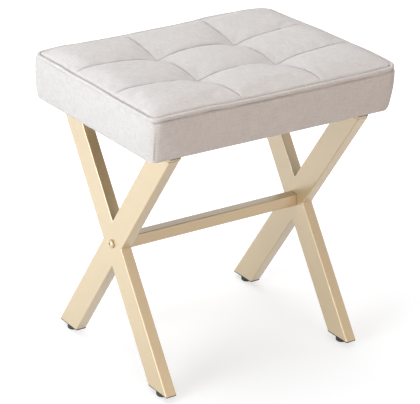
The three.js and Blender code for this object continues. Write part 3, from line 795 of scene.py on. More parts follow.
for (end, side), place in foot_places.items():
    low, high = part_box(f"glide_pad_{end}_{side}")
    pad = make_piece(f"glide_foot_{end}_{side}", *glide_pad((high.x - low.x) / 2, high.z), black_plastic)
    pad.data.transform(Matrix.Translation((*place, 0)))
    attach(pad, f"pad_{end}_{side}")
    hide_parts(f"glide_pad_{end}_{side}")

# Seat board
# The board is 12 mm plywood, with a tee nut pressed into each of four counterbored holes from above.


def make_plywood():
    """Birch plywood: grain along the board on its faces, and plies in layers on its edges."""
    material, tree, shader, place = start_material("birch_plywood", Roughness=0.62)
    stretched = add_node(tree, "ShaderNodeMapping", {"Vector": place, "Scale": (14.0, 180.0, 1400.0)})
    grain = noise(tree, stretched, 1.0, 5.0, Distortion=0.4)
    tint(tree, shader, grain, (0.42, 0.27, 0.14), (0.66, 0.49, 0.30))
    add_bump(tree, shader, grain, 0.0002, 0.3)
    return material


finish_node("seat_board", make_plywood())
for end, side in feet:
    finish_node(f"tee_nut_{end}_{side}", zinc_plate)

# Foam core
# A block of firm polyurethane foam is cut a little larger than the board and glued down to it. The
# band pulls its sides to the same swell as the finished seat.

band_low, band_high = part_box("cover_band")
half_width = band_high.x
half_depth = band_high.y
corner_signs = ((1, 1), (-1, 1), (-1, -1), (1, -1))  # back right, back left, front left, front right
corner_radii = (0.022, 0.022, 0.0195, 0.0215)
least_corner = 0.003
cover_thickness = 0.0025
cover_gap = 0.0003  # between the cover and what it lies on
foam_gap = 0.0055  # between the foam's side and the cover's inner face
foam_face_inset = 0.04
foam_levels = 16
side_steps = {"x": 120, "y": 88}
corner_steps = 24
band_tuck = 0.0105
corner_tuck_shares = (0.2, 0.0, 0.6, 0.45)  # how much more each corner's lower edge is drawn in
front_tuck_share = 0.45
band_draw_shares = (
    (0, 1.05),
    (0.03, 0.70),
    (0.07, 0.42),
    (0.12, 0.29),
    (0.22, 0.19),
    (0.4, 0.09),
    (0.6, 0.02),
    (0.8, 0),
    (1, 0),
)
board_clearance = 0.0006
board_reach_down = 0.0004
board_reach_up = 0.003
board_bend = 0.0006  # how softly the cover bends towards the board's edge
board_corner_radius = 0.022
diagonal_gain = 0.414  # how much nearer a rounded corner is along its diagonal, for each radius
seam_notch = 0.0026
left_notch_share = 0.2
seam_notch_reach = 0.0021
seam_drop = 0.0005  # how far the band's seam lies under the height of its pattern
left_seam_rise = 0.0030
settle_floor = 0.42  # below this height nothing is out of true
top_corner_shifts = (  # how far each upper corner lies from its pattern
    (-0.0012, 0.0012, -0.0010),
    (0.0008, 0.0004, -0.0006),
    (0.0018, -0.0014, -0.0018),
    (-0.0012, -0.0007, 0.0010),
)
edge_lifts = (  # of each panel's edge, along the back, left, front and right
    (0.0026, 0.0, 0.0),
    (0.0010, 0.0004, 0.0),
    (0.0016, -0.0006, -0.0010),
    (0.0014, 0.0, -0.0003),
)
side_lift_rows = (  # how much higher the filling stands along the back, left, front and right
    (
        (0, 0.0012),
        (0.1, 0.0038),
        (0.3, 0.0050),
        (0.5, 0.0026),
        (0.75, 0.0014),
        (0.88, 0.0032),
        (1, 0),
    ),
    ((0, 0), (1, 0)),
    ((0, 0), (1, 0)),
    ((0, 0.0008), (0.3, 0.0040), (0.65, 0.0044), (0.9, 0.0016), (1, 0.0012)),
)
edge_bows = (0.0006, -0.0008, 0.0016, 0.0012)  # how far each upper edge bows out
smooth_reach = 5  # in steps of a two-hundredth, to either side
lift_reach = 0.045


def make_foam():
    """Cream polyurethane foam with small open cells."""
    material, tree, shader, place = start_material("cream_foam", Roughness=0.95)
    cells = add_node(tree, "ShaderNodeTexVoronoi", {"Vector": place, "Scale": 900.0})
    tint(tree, shader, cells, (0.86, 0.79, 0.60), (0.70, 0.60, 0.40))
    add_bump(tree, shader, cells, 0.0006, 0.7)
    return material


def smooth_rows(rows, share):
    """A value read from rows of shares, with the corners between the rows rounded off."""
    fine = np.linspace(0, 1, 201)
    window = np.hanning(2 * smooth_reach + 3)[1:-1]
    values = np.pad(np.interp(fine, *zip(*rows)), smooth_reach, mode="edge")
    return np.interp(share, fine, np.convolve(values, window / window.sum(), "valid"))


def seat_stations():
    """Places round the seat: which corner, the way out, the corner's radius, and how far round."""
    stations = []
    around = 0.0
    for corner, (from_x, from_y) in enumerate(corner_signs):
        to_x, to_y = corner_signs[(corner + 1) % 4]
        radius = corner_radii[corner]
        next_radius = corner_radii[(corner + 1) % 4]
        for step in range(corner_steps):
            share = step / corner_steps
            turn = math.radians(90) * (corner + share)
            gone = around + math.radians(90) * radius * share
            stations.append((from_x, from_y, math.cos(turn), math.sin(turn), radius, gone))
        around += math.radians(90) * radius
        along_x_side = from_y == to_y
        steps = side_steps["x" if along_x_side else "y"]
        length = 2 * (half_width if along_x_side else half_depth) - radius - next_radius
        turn = math.radians(90) * (corner + 1)
        for step in range(steps):
            share = step / steps
            sign_x = from_x + (to_x - from_x) * share
            sign_y = from_y + (to_y - from_y) * share
            here = radius + (next_radius - radius) * share
            gone = around + length * share
            stations.append((sign_x, sign_y, math.cos(turn), math.sin(turn), here, gone))
        around += length
    return np.array(stations), around


def seat_ring(inset, height):
    """The points of a ring round the seat at an inset from the fullest line, one or one a station."""
    radius = np.maximum(stations[:, 4] - inset, least_corner)
    x = stations[:, 0] * (half_width - inset - radius) + stations[:, 2] * radius
    y = stations[:, 1] * (half_depth - inset - radius) + stations[:, 3] * radius
    return np.stack([x, y, np.broadcast_to(height, x.shape)], axis=1)


def settle(points):
    """Moves points of the pad from its pattern to where its filling carries them."""
    points = np.array(points, float)
    shape = points.shape
    points = points.reshape(-1, 3)
    u = np.clip(points[:, 0] / half_width, -1, 1)
    v = np.clip(points[:, 1] / half_depth, -1, 1)
    risen = np.clip((points[:, 2] - settle_floor) / (band_high.z - settle_floor), 0, 1)
    moved = points.copy()
    for (sign_x, sign_y), shift in zip(corner_signs, top_corner_shifts):
        near = (1 + sign_x * u) * (1 + sign_y * v) / 4 * risen
        moved += near[:, None] * np.array(shift)
    ways = (
        (1 - u, 1 - v, half_depth, (0, 1)),
        (1 - v, 1 + u, half_width, (-1, 0)),
        (1 + u, 1 + v, half_depth, (0, -1)),
        (1 + v, 1 - u, half_width, (1, 0)),
    )
    for (along, away, half, out), rows, lifts, bow in zip(ways, side_lift_rows, edge_lifts, edge_bows):
        near = np.exp(-((away * half / lift_reach) ** 2)) * risen
        moved[:, 2] += smooth_rows(rows, along / 2) * near
        panel = np.clip((along / 2 * len(lifts)).astype(int), 0, len(lifts) - 1)
        moved[:, 2] += np.array(lifts)[panel] * np.abs(np.sin(math.pi * along / 2 * len(lifts))) * near
        moved[:, :2] += (bow * np.sin(math.pi * along / 2) * near)[:, None] * np.array(out)
    return moved.reshape(shape)


def band_inset(share):
    """How far the band's side lies inside its fullest line at a share of its height, all round."""
    more = np.clip(-stations[:, 3], 0, 1) * front_tuck_share
    for (sign_x, sign_y), tuck_share in zip(corner_signs, corner_tuck_shares):
        near = (1 + sign_x * stations[:, 0]) * (1 + sign_y * stations[:, 1]) / 4
        more = np.maximum(more, near * tuck_share)
    return band_tuck * smooth_rows(band_draw_shares, share) * (1 + more)


def clear_of_board(inset, height):
    """Keeps the band's outer face outside the board, bending smoothly towards it."""
    if height < board_low.z - board_reach_down or height > board_high.z + board_reach_up:
        return inset
    corner = np.abs(2 * stations[:, 2] * stations[:, 3])
    limit = half_width - board_high.x - board_clearance
    limit = limit + corner * diagonal_gain * (board_corner_radius - stations[:, 4])
    return (inset + limit - np.hypot(inset - limit, board_bend)) / 2


def as_rings(rings):
    """Rings of arrays as the lists that a loft takes."""
    return [[tuple(point) for point in ring] for ring in rings]


stations, seat_around = seat_stations()
board_low, board_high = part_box("seat_board")
foam_low, foam_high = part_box("foam_core")
foam_rings = [seat_ring(foam_face_inset, foam_low.z)]
for height in np.linspace(foam_low.z, foam_high.z, foam_levels):
    up = (height - band_low.z) / (band_high.z - band_low.z)
    foam_rings.append(seat_ring(band_inset(up) + cover_thickness + foam_gap, height))
foam_rings.append(seat_ring(foam_face_inset, foam_high.z))
foam_block = make_piece("foam_block", *loft(as_rings(settle(foam_rings))), make_foam())
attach(foam_block, "stool")
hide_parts("foam_core")

# Quilted top and its wadding
# Nine panels of linen-look cloth are sewn together over wadding. Each puffs between its seams, and
# twine draws the four crossings down towards the board, so that the seams arch between them.

panels = 3
seam_lines = (0, 0.0004, 0.0008, 0.0013, 0.0019, 0.0028, 0.0041, 0.006, 0.0088)
open_lines = {"x": 30, "y": 22}
top_inset = 0.0088
panel_edge = 0.4700  # height of the top panel's edge, in the groove inside the piping
crown_rise = 0.0094
edge_rises = ((0.30, 0.0014), (0.70, 0.014))  # share of the rise, and how far in it is reached
panel_puff = 0.0018
seam_roll_share = 0.4
seam_roll_reach = 0.0028
tuft_pull = 0.0120
tuft_reach = 0.038
tuft_power = 1.25
seam_nip = 0.0021
seam_nip_reach = 0.0009
seam_nip_power = 24  # high, so that the seams fade out only just before the edge
sewn_reach = 0.002
seam_drifts = (0.0019, -0.0020, 0.0053)  # how far the seams lie to the right: level, slant and bow
whole_at_seams = 1.125  # a drift that fades towards the sides is whole a third of the way out
least_length = 1e-9
swell_cap = 0.004
swell_step = 0.0055
swell_pressure = 4.0
swell_frames = 20
cloth_slack = 0.012
cloth_hold = {
    "vertex_group_mass": "sewn",
    "quality": 8,
    "mass": 0.3,
    "tension_stiffness": 15,
    "compression_stiffness": 15,
    "shear_stiffness": 8,
    "bending_stiffness": 0.6,
    "use_pressure": True,
    "uniform_pressure_force": swell_pressure,
    "shrink_min": -cloth_slack,
}
wadding_gap = 0.0012
wadding_inset = 0.001
yarn_pitch = 0.00072
cloth_warm_tone = (0.652, 0.597, 0.556)
cloth_cool_tone = (0.760, 0.721, 0.692)


def make_linen():
    """Linen-look plain weave: two sets of uneven yarns over and under, slubs, drifting tone, and painted
    shade between yarns.
    """
    material, tree, shader, _ = start_material(
        "oatmeal_linen", Roughness=0.92, Sheen_Weight=0.15, Sheen_Roughness=0.45, IOR=1.35
    )

    def vector(operation, inputs):
        return add_node(tree, "ShaderNodeVectorMath", inputs, operation=operation)

    spot = add_node(tree, "ShaderNodeUVMap", uv_map="weave")
    wandering = {"Vector": spot, "Scale": 220.0, "Detail": 2.0}
    wander = add_node(tree, "ShaderNodeTexNoise", wandering, "Color")
    shift = vector("MULTIPLY_ADD", {0: wander, 1: (yarn_pitch * 0.9,) * 3, 2: spot})
    waves = vector("SINE", {0: vector("SCALE", {0: shift, "Scale": math.pi / yarn_pitch})})
    wave = add_node(tree, "ShaderNodeSeparateXYZ", {0: waves}, None)
    ridge = add_node(tree, "ShaderNodeSeparateXYZ", {0: vector("ABSOLUTE", {0: waves})}, None)
    over = combine(tree, "MULTIPLY", wave["X"], wave["Y"])
    heights = []
    for yarn, sign in ((ridge["X"], 0.5), (ridge["Y"], -0.5)):
        lift = combine(tree, "MULTIPLY_ADD", over, sign, 0.5)
        heights.append(combine(tree, "MULTIPLY", yarn, lift))
    weave = combine(tree, "MAXIMUM", *heights)
    slubs = []
    for stretch in ((620.0, 70.0, 1.0), (60.0, 620.0, 1.0)):
        along = add_node(tree, "ShaderNodeMapping", {"Vector": spot, "Scale": stretch})
        slubs.append(noise(tree, along, 1.0, Roughness=0.6))
    streaks = spread_range(tree, combine(tree, "ADD", *slubs), 0.80, 1.20, 0.0, 0.8)
    cloud = spread_range(tree, noise(tree, spot, 40.0, 4.0), 0.3, 0.7, 0.0, 0.2)
    yarn_tone = blend_tones(tree, combine(tree, "ADD", streaks, cloud), cloth_warm_tone, cloth_cool_tone)
    # Painted shade: the colour is darker where the weave sinks between the yarns.
    painted_gap_shade = spread_range(tree, weave, 0.0, 0.6, 0.80, 1.0)
    tree.links.new(vector("SCALE", {0: yarn_tone, "Scale": painted_gap_shade}), shader.inputs["Base Color"])
    add_bump(tree, shader, combine(tree, "MULTIPLY_ADD", slubs[0], 0.35, weave), 0.00022, 0.5)
    return material


def panel_lines(half, count):
    """Shares from -1 to 1 at which the top's points lie, drawn together at the seams."""
    width = 2 * half / panels
    seam = [line / width for line in seam_lines]
    open_part = np.linspace(seam[-1], 1 - seam[-1], count + 1)
    one = np.concatenate([seam[:-1], open_part, 1 - np.array(seam[:-1])[::-1]])[:-1]
    lines = np.concatenate([(panel + one) / panels for panel in range(panels)] + [[1]])
    return 2 * lines - 1


def seam_distance(share, half):
    """How far a place is from the nearest seam or edge."""
    along = (share + 1) / 2 * panels
    return np.abs(along - np.round(along)) / panels * 2 * half


def puff_of(share, half):
    """0 on each seam, rounding up fast beside it, and 1 in the middle of each panel."""
    roll = 1 - np.exp(-seam_distance(share, half) / seam_roll_reach)
    dome = np.abs(np.sin(math.pi * (share + 1) / 2 * panels))
    return seam_roll_share * roll + (1 - seam_roll_share) * dome


def edge_rise(share, half):
    """0 at the seat's edge, rising fast out of the groove there and then slowly to 1."""
    away = (1 - np.abs(share)) * half
    return sum(part * (1 - np.exp(-away / reach)) for part, reach in edge_rises)


def crossing_pull(share_x, share_y):
    """How deep the twines draw the top down at a place."""
    pull = np.zeros_like(share_x)
    for i in range(1, panels):
        for j in range(1, panels):
            away_x = (share_x - (2 * i / panels - 1)) * top_half_x
            away_y = (share_y - (2 * j / panels - 1)) * top_half_y
            away = np.hypot(away_x, away_y)
            pull += np.exp(-((away / tuft_reach) ** tuft_power))
    return tuft_pull * pull


def quilt_height(share_x, share_y):
    """The quilted top's height over a share of the seat's half width and half depth, seams left out."""
    rise = crown_rise * edge_rise(share_x, top_half_x) * edge_rise(share_y, top_half_y)
    puff = panel_puff * puff_of(share_x, top_half_x) * puff_of(share_y, top_half_y)
    return panel_edge + rise + puff - crossing_pull(share_x, share_y)


def seam_crease(share_x, share_y):
    """How deep the cloth folds in at the seams."""
    near = [
        np.exp(-((seam_distance(share, half) / seam_nip_reach) ** 2))
        for share, half in ((share_x, top_half_x), (share_y, top_half_y))
    ]
    inside = (1 - share_x**seam_nip_power) * (1 - share_y**seam_nip_power)
    return seam_nip * np.maximum(*near) * inside


def quilt_grid(share_x, share_y, height, inset):
    """Points over shares of the seat, drawn in at its rounded corners and carried by the filling."""
    level, slant, bow = seam_drifts
    drift = (level + slant * share_y + bow * share_y**2) * (1 - share_x**2) * whole_at_seams
    x = share_x * (half_width - inset) + drift
    y = share_y * (half_depth - inset)
    for (sign_x, sign_y), corner_radius in zip(corner_signs, corner_radii):
        radius = corner_radius - inset
        over_x = sign_x * x - (half_width - inset - radius)
        over_y = sign_y * y - (half_depth - inset - radius)
        away = np.hypot(over_x, over_y)
        outside = (over_x > 0) & (over_y > 0) & (away > radius)
        pull = np.where(outside, radius / np.maximum(away, least_length), 1)
        x = np.where(outside, sign_x * (half_width - inset - radius + over_x * pull), x)
        y = np.where(outside, sign_y * (half_depth - inset - radius + over_y * pull), y)
    return settle(np.stack([x, y, np.broadcast_to(height, x.shape)], axis=2))


def closed_sheet(upper, lower):
    """A closed skin over an upper and a lower grid of points."""
    rows, columns = upper.shape[:2]
    vertices = np.concatenate([upper.reshape(-1, 3), lower.reshape(-1, 3)])
    base = rows * columns
    faces = []
    for j in range(rows - 1):
        for i in range(columns - 1):
            a = j * columns + i
            faces.append((a, a + 1, a + columns + 1, a + columns))
            faces.append((base + a, base + a + columns, base + a + columns + 1, base + a + 1))
    rim = list(range(columns))
    rim += [j * columns + columns - 1 for j in range(1, rows)]
    rim += [(rows - 1) * columns + i for i in range(columns - 2, -1, -1)]
    rim += [j * columns for j in range(rows - 2, 0, -1)]
    for step, here in enumerate(rim):
        after = rim[(step + 1) % len(rim)]
        faces.append((here, base + here, base + after, after))
    return vertices, faces


def swell(sheet, held):
    """How far the free points of a closed cloth move under its filling's push, capped."""
    vertices, faces = sheet
    cushion = make_piece("swollen_top", vertices, faces, oatmeal_linen)
    cushion.vertex_groups.new(name="sewn").add([int(i) for i in np.flatnonzero(held)], 1.0, "REPLACE")
    cloth = cushion.modifiers.new("cloth", "CLOTH")
    for setting, value in cloth_hold.items():
        setattr(cloth.settings, setting, value)
    cloth.settings.effector_weights.gravity = 0
    cloth.point_cache.frame_start = 1
    cloth.point_cache.frame_end = swell_frames
    for number in range(1, swell_frames + 1):
        bpy.context.scene.frame_set(number)
    graph = bpy.context.evaluated_depsgraph_get()
    swollen = cushion.evaluated_get(graph).data
    moved = read_all(swollen.vertices, "co", vertices.size).reshape(-1, 3) - vertices
    bpy.data.objects.remove(cushion)
    bpy.context.scene.frame_set(1)
    length = np.linalg.norm(moved, axis=1, keepdims=True)
    return moved * np.minimum(1, swell_cap / np.maximum(length, least_length))


def read_between(values, rows, columns):
    """Reads a grid of vectors at places given in steps of the grid."""
    low_row = np.clip(rows.astype(int), 0, values.shape[0] - 2)
    low_column = np.clip(columns.astype(int), 0, values.shape[1] - 2)
    row_share = (rows - low_row)[..., None]
    column_share = (columns - low_column)[..., None]

    def along_row(row):
        there = values[row, low_column] * (1 - column_share)
        return there + values[row, low_column + 1] * column_share

    return along_row(low_row) * (1 - row_share) + along_row(low_row + 1) * row_share


def make_wadding():
    """White polyester wadding: soft matted fibres."""
    material, tree, shader, place = start_material("white_wadding", Roughness=0.95, Sheen_Weight=0.4)
    fibres = noise(tree, place, 500.0, 6.0, Distortion=1.2)
    tint(tree, shader, fibres, (0.74, 0.74, 0.72), (0.92, 0.92, 0.90))
    add_bump(tree, shader, fibres, 0.001, 0.6)
    return material


top_half_x = half_width - top_inset
top_half_y = half_depth - top_inset
wadding_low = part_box("wadding")[0].z
swell_columns = 3 * round(2 * top_half_x / panels / swell_step)
swell_rows = 3 * round(2 * top_half_y / panels / swell_step)
even_x, even_y = np.meshgrid(
    np.linspace(-1, 1, swell_columns + 1),
    np.linspace(-1, 1, swell_rows + 1),
)
even_height = quilt_height(even_x, even_y)
even_top = quilt_grid(even_x, even_y, even_height, top_inset)
even_under = quilt_grid(even_x, even_y, wadding_low, top_inset)
sewn = np.minimum(seam_distance(even_x, top_half_x), seam_distance(even_y, top_half_y)) < sewn_reach
held_points = np.concatenate([sewn.ravel(), np.ones(sewn.size, bool)])
oatmeal_linen = make_linen()
pushed = swell(closed_sheet(even_top, even_under), held_points)[: sewn.size].reshape(*sewn.shape, 3)
pushed[:, :, 2] = np.maximum(pushed[:, :, 2], 0)

layer_inset = top_inset + wadding_inset
wadding_height = even_height - cover_thickness - wadding_gap
under_quilt = quilt_grid(even_x, even_y, wadding_height, layer_inset) + pushed
flat_under = quilt_grid(even_x, even_y, wadding_low, layer_inset)
wadding_layer = make_piece("wadding_layer", *closed_sheet(under_quilt, flat_under), make_wadding())
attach(wadding_layer, "stool")
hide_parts("wadding")

share_x, share_y = np.meshgrid(
    panel_lines(top_half_x, open_lines["x"]), panel_lines(top_half_y, open_lines["y"])
)
quilt = quilt_grid(share_x, share_y, quilt_height(share_x, share_y), top_inset)
quilt += read_between(pushed, (share_y + 1) / 2 * swell_rows, (share_x + 1) / 2 * swell_columns)
quilt[:, :, 2] -= seam_crease(share_x, share_y)
quilt_under = quilt.copy()
quilt_under[:, :, 2] -= cover_thickness - cover_gap
flat_cloth = np.stack([share_x * top_half_x, share_y * top_half_y], axis=2).reshape(-1, 2)
quilted_top = make_piece(
    "quilted_top",
    *closed_sheet(quilt, quilt_under),
    oatmeal_linen,
    75,
    cloth=np.concatenate([flat_cloth, flat_cloth]),
)
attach(quilted_top, "stool")
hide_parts("cover_top")

# Boxing band
# One long strip of the same cloth, backed with thin padding, goes round the sides. It is sewn to the
# piping above, swells at half height, folds into a pleat at each corner and turns under the board.

band_rows = 34
even_rows_end = 0.952  # share of the height from which the rows close up towards the seam
back_rows_end = 0.98
back_rows_gap = 0.001  # how far above the board the inner face stops
cloth_join = 0.0025
seam_row_shares = (0.962, 0.971, 0.978, 0.984, 0.989, 0.993, 0.997, 1.0)
hem_edge_inset = 0.036
hem_rows = 5
corner_draw_rows = (
    (0, 0.0020),
    (0.04, 0.0030),
    (0.22, 0.0034),
    (0.4, 0.0022),
    (0.6, 0.0006),
    (0.75, 0),
    (1, 0),
)
corner_draw_reach = 0.034
fold_places = (0.45, 0.55, 0.63, 0.40)  # share of each corner's arc at which its pleat is folded
fold_ways = (1, -1, 1, -1)
fold_depths = (0.0012, 0.0012, 0.0013, 0.0010)
fold_width = 0.020
fold_turn = 0.0022
fold_lip = 0.0005
fold_lip_reach = 0.005
fold_strength_rows = ((0, 1), (0.35, 0.95), (0.6, 0.7), (0.8, 0.3), (0.95, 0), (1, 0))
corner_draw_scales = (0.5, 0.1, 1.15, 0.7)
slow_wave = 0.0006
long_wave = 0.045
short_wave = 0.016
short_wave_share = 0.5
left_seam_start = 0.55  # how far left the top seam starts to rise, and over how much
left_seam_reach = 0.4
hem_pucker = 0.0005
hem_pucker_pitch = 0.029
hem_pucker_drift = 0.35
hem_pucker_wave = 0.06
hem_pucker_share = 0.08


def slow_noise(step, seed):
    """An uneven wave round the seat, from -1 to 1, that meets itself."""
    count = round(seat_around / step)
    heights = np.random.default_rng(seed).uniform(-1, 1, count)
    place = stations[:, 5] / seat_around * count
    first = heights[place.astype(int) % count]
    after = heights[(place.astype(int) + 1) % count]
    blend = (1 - np.cos(math.pi * (place % 1))) / 2
    return first * (1 - blend) + after * blend


def band_relief(share):
    """What the corners, pleats and puckers add to the band's inset at a share of its height."""
    waves = slow_noise(long_wave, 11) + short_wave_share * slow_noise(short_wave, 12)
    relief = slow_wave * math.sin(math.pi * share) * waves
    pitch = stations[:, 5] / hem_pucker_pitch + hem_pucker_drift * slow_noise(hem_pucker_wave, 13)
    relief += hem_pucker * np.cos(math.tau * pitch) * math.exp(-share / hem_pucker_share)
    draw = smooth_rows(corner_draw_rows, share)
    strength = smooth_rows(fold_strength_rows, share)
    for corner in range(4):
        start = stations[corner_starts[corner], 5]
        arc = math.radians(90) * corner_radii[corner]
        from_middle = (stations[:, 5] - start - arc / 2 + seat_around / 2) % seat_around - seat_around / 2
        relief += corner_draw_scales[corner] * draw * np.exp(-((from_middle / corner_draw_reach) ** 2))
        past_fold = fold_ways[corner] * (from_middle - arc * (fold_places[corner] - 0.5))
        after = np.maximum(past_fold, 0)
        dip = (1 - np.exp(-after / fold_turn)) * np.exp(-after / fold_width) * fold_depths[corner]
        lip = fold_lip * np.exp(-((past_fold / fold_lip_reach) ** 2)) * (past_fold <= 0)
        relief += strength * (dip - lip)
    return relief


def cloth_row(across):
    """Places along one line of a strip of cloth that goes round the seat."""
    return np.stack([stations[:, 5], np.full(len(stations), across)], axis=1)


corner_starts = [corner * corner_steps for corner in range(4)]
for corner in range(1, 4):
    corner_starts[corner] += sum(side_steps["xyx"[side]] for side in range(corner))
hem_top = board_low.z - cover_gap
leftness = np.clip((-stations[:, 2] - left_seam_start) / left_seam_reach, 0, 1)
leftness = leftness**2 * (3 - 2 * leftness)
band_top = band_high.z - seam_drop + left_seam_rise * leftness
notch_depth = seam_notch * (1 - (1 - left_notch_share) * leftness)


def band_face(share):
    """The inset and the height of the band's outer face at a share of its height, all round."""
    height = band_low.z + (band_top - band_low.z) * share
    inset = clear_of_board(band_inset(share) + band_relief(share), float(height.mean()))
    from_seam = (1 - share) * (band_top - band_low.z)
    return inset + notch_depth * np.exp(-((from_seam / seam_notch_reach) ** 2)), height


band_sections = []
hem_inset = band_face(0.0)[0]
for share in np.linspace(0, 1, hem_rows)[:-1]:
    band_sections.append((hem_edge_inset + (hem_inset - hem_edge_inset) * share, band_low.z))
for share in np.concatenate([np.linspace(0, even_rows_end, band_rows), seam_row_shares]):
    band_sections.append(band_face(float(share)))
for share in np.linspace(back_rows_end, 0, band_rows)[::3]:
    inset, height = band_face(float(share))
    if height.mean() > board_high.z + back_rows_gap:
        band_sections.append((inset + cover_thickness, height))
board_inset = half_width - board_high.x
board_edge = np.full(len(stations), board_inset - cover_gap)
band_sections.append((board_edge, board_high.z))
band_sections.append((board_edge, hem_top))
band_sections.append((np.full(len(stations), hem_edge_inset), hem_top))
band_rings = [settle(seat_ring(inset, height)) for inset, height in band_sections]
lengths = [0.0]
for (inset, height), (next_inset, next_height) in zip(band_sections, band_sections[1:]):
    step = np.hypot(np.mean(next_inset) - np.mean(inset), np.mean(next_height) - np.mean(height))
    lengths.append(lengths[-1] + float(step))
boxing_band = make_piece(
    "boxing_band",
    *loft(as_rings(band_rings), wrapped=True),
    oatmeal_linen,
    60,
    cloth=np.concatenate([cloth_row(length) for length in lengths]),
    round_cloth=(seat_around, lengths[-1] + cloth_join),
)
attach(boxing_band, "stool")
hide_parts("cover_band")

# Piping
# A round cord wrapped in a bias-cut strip of the cloth, sewn into the seam between band and top.

piping_sides = 20
piping_radius = 0.0035
piping_inset = 0.0047
piping_height = 0.4690
piping_wander = 0.0004
rise_wave = 0.03
sway_wave = 0.035
sway_share = 0.6

piping_rings = []
piping_cloth = []
rise_and_fall = piping_wander * slow_noise(rise_wave, 21)
in_and_out = piping_wander * sway_share * slow_noise(sway_wave, 22)
for step in range(piping_sides):
    turn = math.tau * step / piping_sides
    inset = piping_inset + in_and_out + piping_radius * math.cos(turn)
    height = piping_height + rise_and_fall + piping_radius * math.sin(turn)
    piping_rings.append(settle(seat_ring(inset, height)))
    piping_cloth.append(cloth_row(piping_radius * turn))
piping = make_piece(
    "piping",
    *loft(as_rings(piping_rings), wrapped=True),
    oatmeal_linen,
    60,
    cloth=np.concatenate(piping_cloth),
    round_cloth=(seat_around, math.tau * piping_radius),
)
piping_weave = piping.data.uv_layers["weave"].uv
along, across = read_all(piping_weave, "vector", len(piping.data.loops) * 2).reshape(-1, 2).T
bias = np.stack([along + across, along - across], axis=1) / math.sqrt(2)
piping_weave.foreach_set("vector", bias.astype(np.float32).ravel())
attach(piping, "stool")
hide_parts("welt")

# Tuft twines
# Waxed twine runs from each crossing down through the filling to a knot under the board.


def make_twine():
    """Waxed black twine: two plies laid round each other."""
    material, tree, shader, place = start_material("waxed_twine", Roughness=0.5)
    laid = {"Vector": place, "Scale": 260.0, "Distortion": 1.0}
    plies = add_node(tree, "ShaderNodeTexWave", laid, "Fac", bands_direction="DIAGONAL")
    tint(tree, shader, plies, (0.02, 0.02, 0.02), (0.09, 0.085, 0.08))
    add_bump(tree, shader, plies, 0.0003, 0.8)
    return material


waxed_twine = make_twine()
for number in range(1, 5):
    finish_node(f"tuft_twine_{number}", waxed_twine)

# Dust cover
# Black spunbonded lining, cut to cover the turned hem and stapled up under the board. It sags a
# little between the two frames.

lining_sag = 0.0012
lining_thin = 0.0002
lining_columns = 96
lining_rows = 68


def make_lining():
    """Spunbonded polypropylene: fine random fibres under a grid of pressed dots."""
    material, tree, shader, place = start_material("black_lining", Roughness=0.85)
    fibres = noise(tree, place, 900.0, 6.0, Distortion=2.0)
    pressed = {"Vector": place, "Scale": 700.0, "Randomness": 0.0}
    dots = add_node(tree, "ShaderNodeTexVoronoi", pressed)
    tint(tree, shader, fibres, (0.012, 0.012, 0.013), (0.06, 0.06, 0.062))
    add_bump(tree, shader, combine(tree, "ADD", dots, fibres), 0.0003, 0.5)
    return material


lining_low, lining_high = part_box("dust_cover")
lining_half_x = lining_high.x
lining_half_y = lining_high.y
lining_inner = -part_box("left_top_bar")[1].x
cloth_x, cloth_y = np.meshgrid(
    np.linspace(-lining_half_x, lining_half_x, lining_columns + 1),
    np.linspace(-lining_half_y, lining_half_y, lining_rows + 1),
)
free_x = np.clip(1 - (cloth_x / lining_inner) ** 2, 0, None)
free_y = np.clip(1 - (cloth_y / lining_half_y) ** 2, 0, None)
sag = lining_sag * free_x * free_y
lining_upper = np.stack([cloth_x, cloth_y, lining_high.z - sag], axis=2)
lining_lower = np.stack([cloth_x, cloth_y, lining_low.z + lining_thin - sag], axis=2)
dust_lining = make_piece("dust_lining", *closed_sheet(lining_upper, lining_lower), make_lining(), 60)
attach(dust_lining, "stool")
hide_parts("dust_cover")

# Lining staples
# Galvanised staples hold the lining's edge up to the board, some three centimetres apart.

staple_crown = 0.0095
staple_wire = 0.0005
staple_pitch = 0.028
staple_line = 0.006
staple_leg = 0.002
staple_bend_across = 0.0004
staple_bend_up = 0.0006
staple_sink_share = 0.6  # of the wire, that lies under the lining's lower face


def staple():
    """A staple's crown and bent shoulders, with its crown on the cloth and its legs upwards."""
    half = staple_crown / 2
    bend = half - staple_bend_across
    wire = ((-staple_wire, 0), (staple_wire, 0), (staple_wire, staple_wire), (-staple_wire, staple_wire))
    route = [(-half, staple_leg), (-half, staple_bend_up), (-bend, 0)]
    route += [(-x, z) for x, z in reversed(route)]
    return loft([[(x, y, z + lift) for y, lift in wire] for x, z in route])


staple_piece = make_piece("staple", *staple(), zinc_plate, 30)
staple_x = lining_half_x - staple_line
staple_y = lining_half_y - staple_line
staple_z = lining_low.z - staple_wire * staple_sink_share
staple_ring = [(sign_x * staple_x, sign_y * staple_y, staple_z) for sign_x, sign_y in corner_signs]
run = ("lining_staples", path_tree, joined_paths([(staple_ring, True)]))
staples = run_tree(*run, staple_piece, zinc_plate, 7, tilt=0.05, sizes=(0.98, 1.02), pitch=staple_pitch)
hide_pattern(staple_piece)
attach(staples, "stool")

# Seat bolts and washers
# Four M6 button-head bolts with washers go up through the top bars into the tee nuts.

small_flat = 0.0026
small_socket = 0.002
small_shank = 0.0029
washer_hole = 0.0033
washer_ease = 0.0003
head_gap = 0.0003

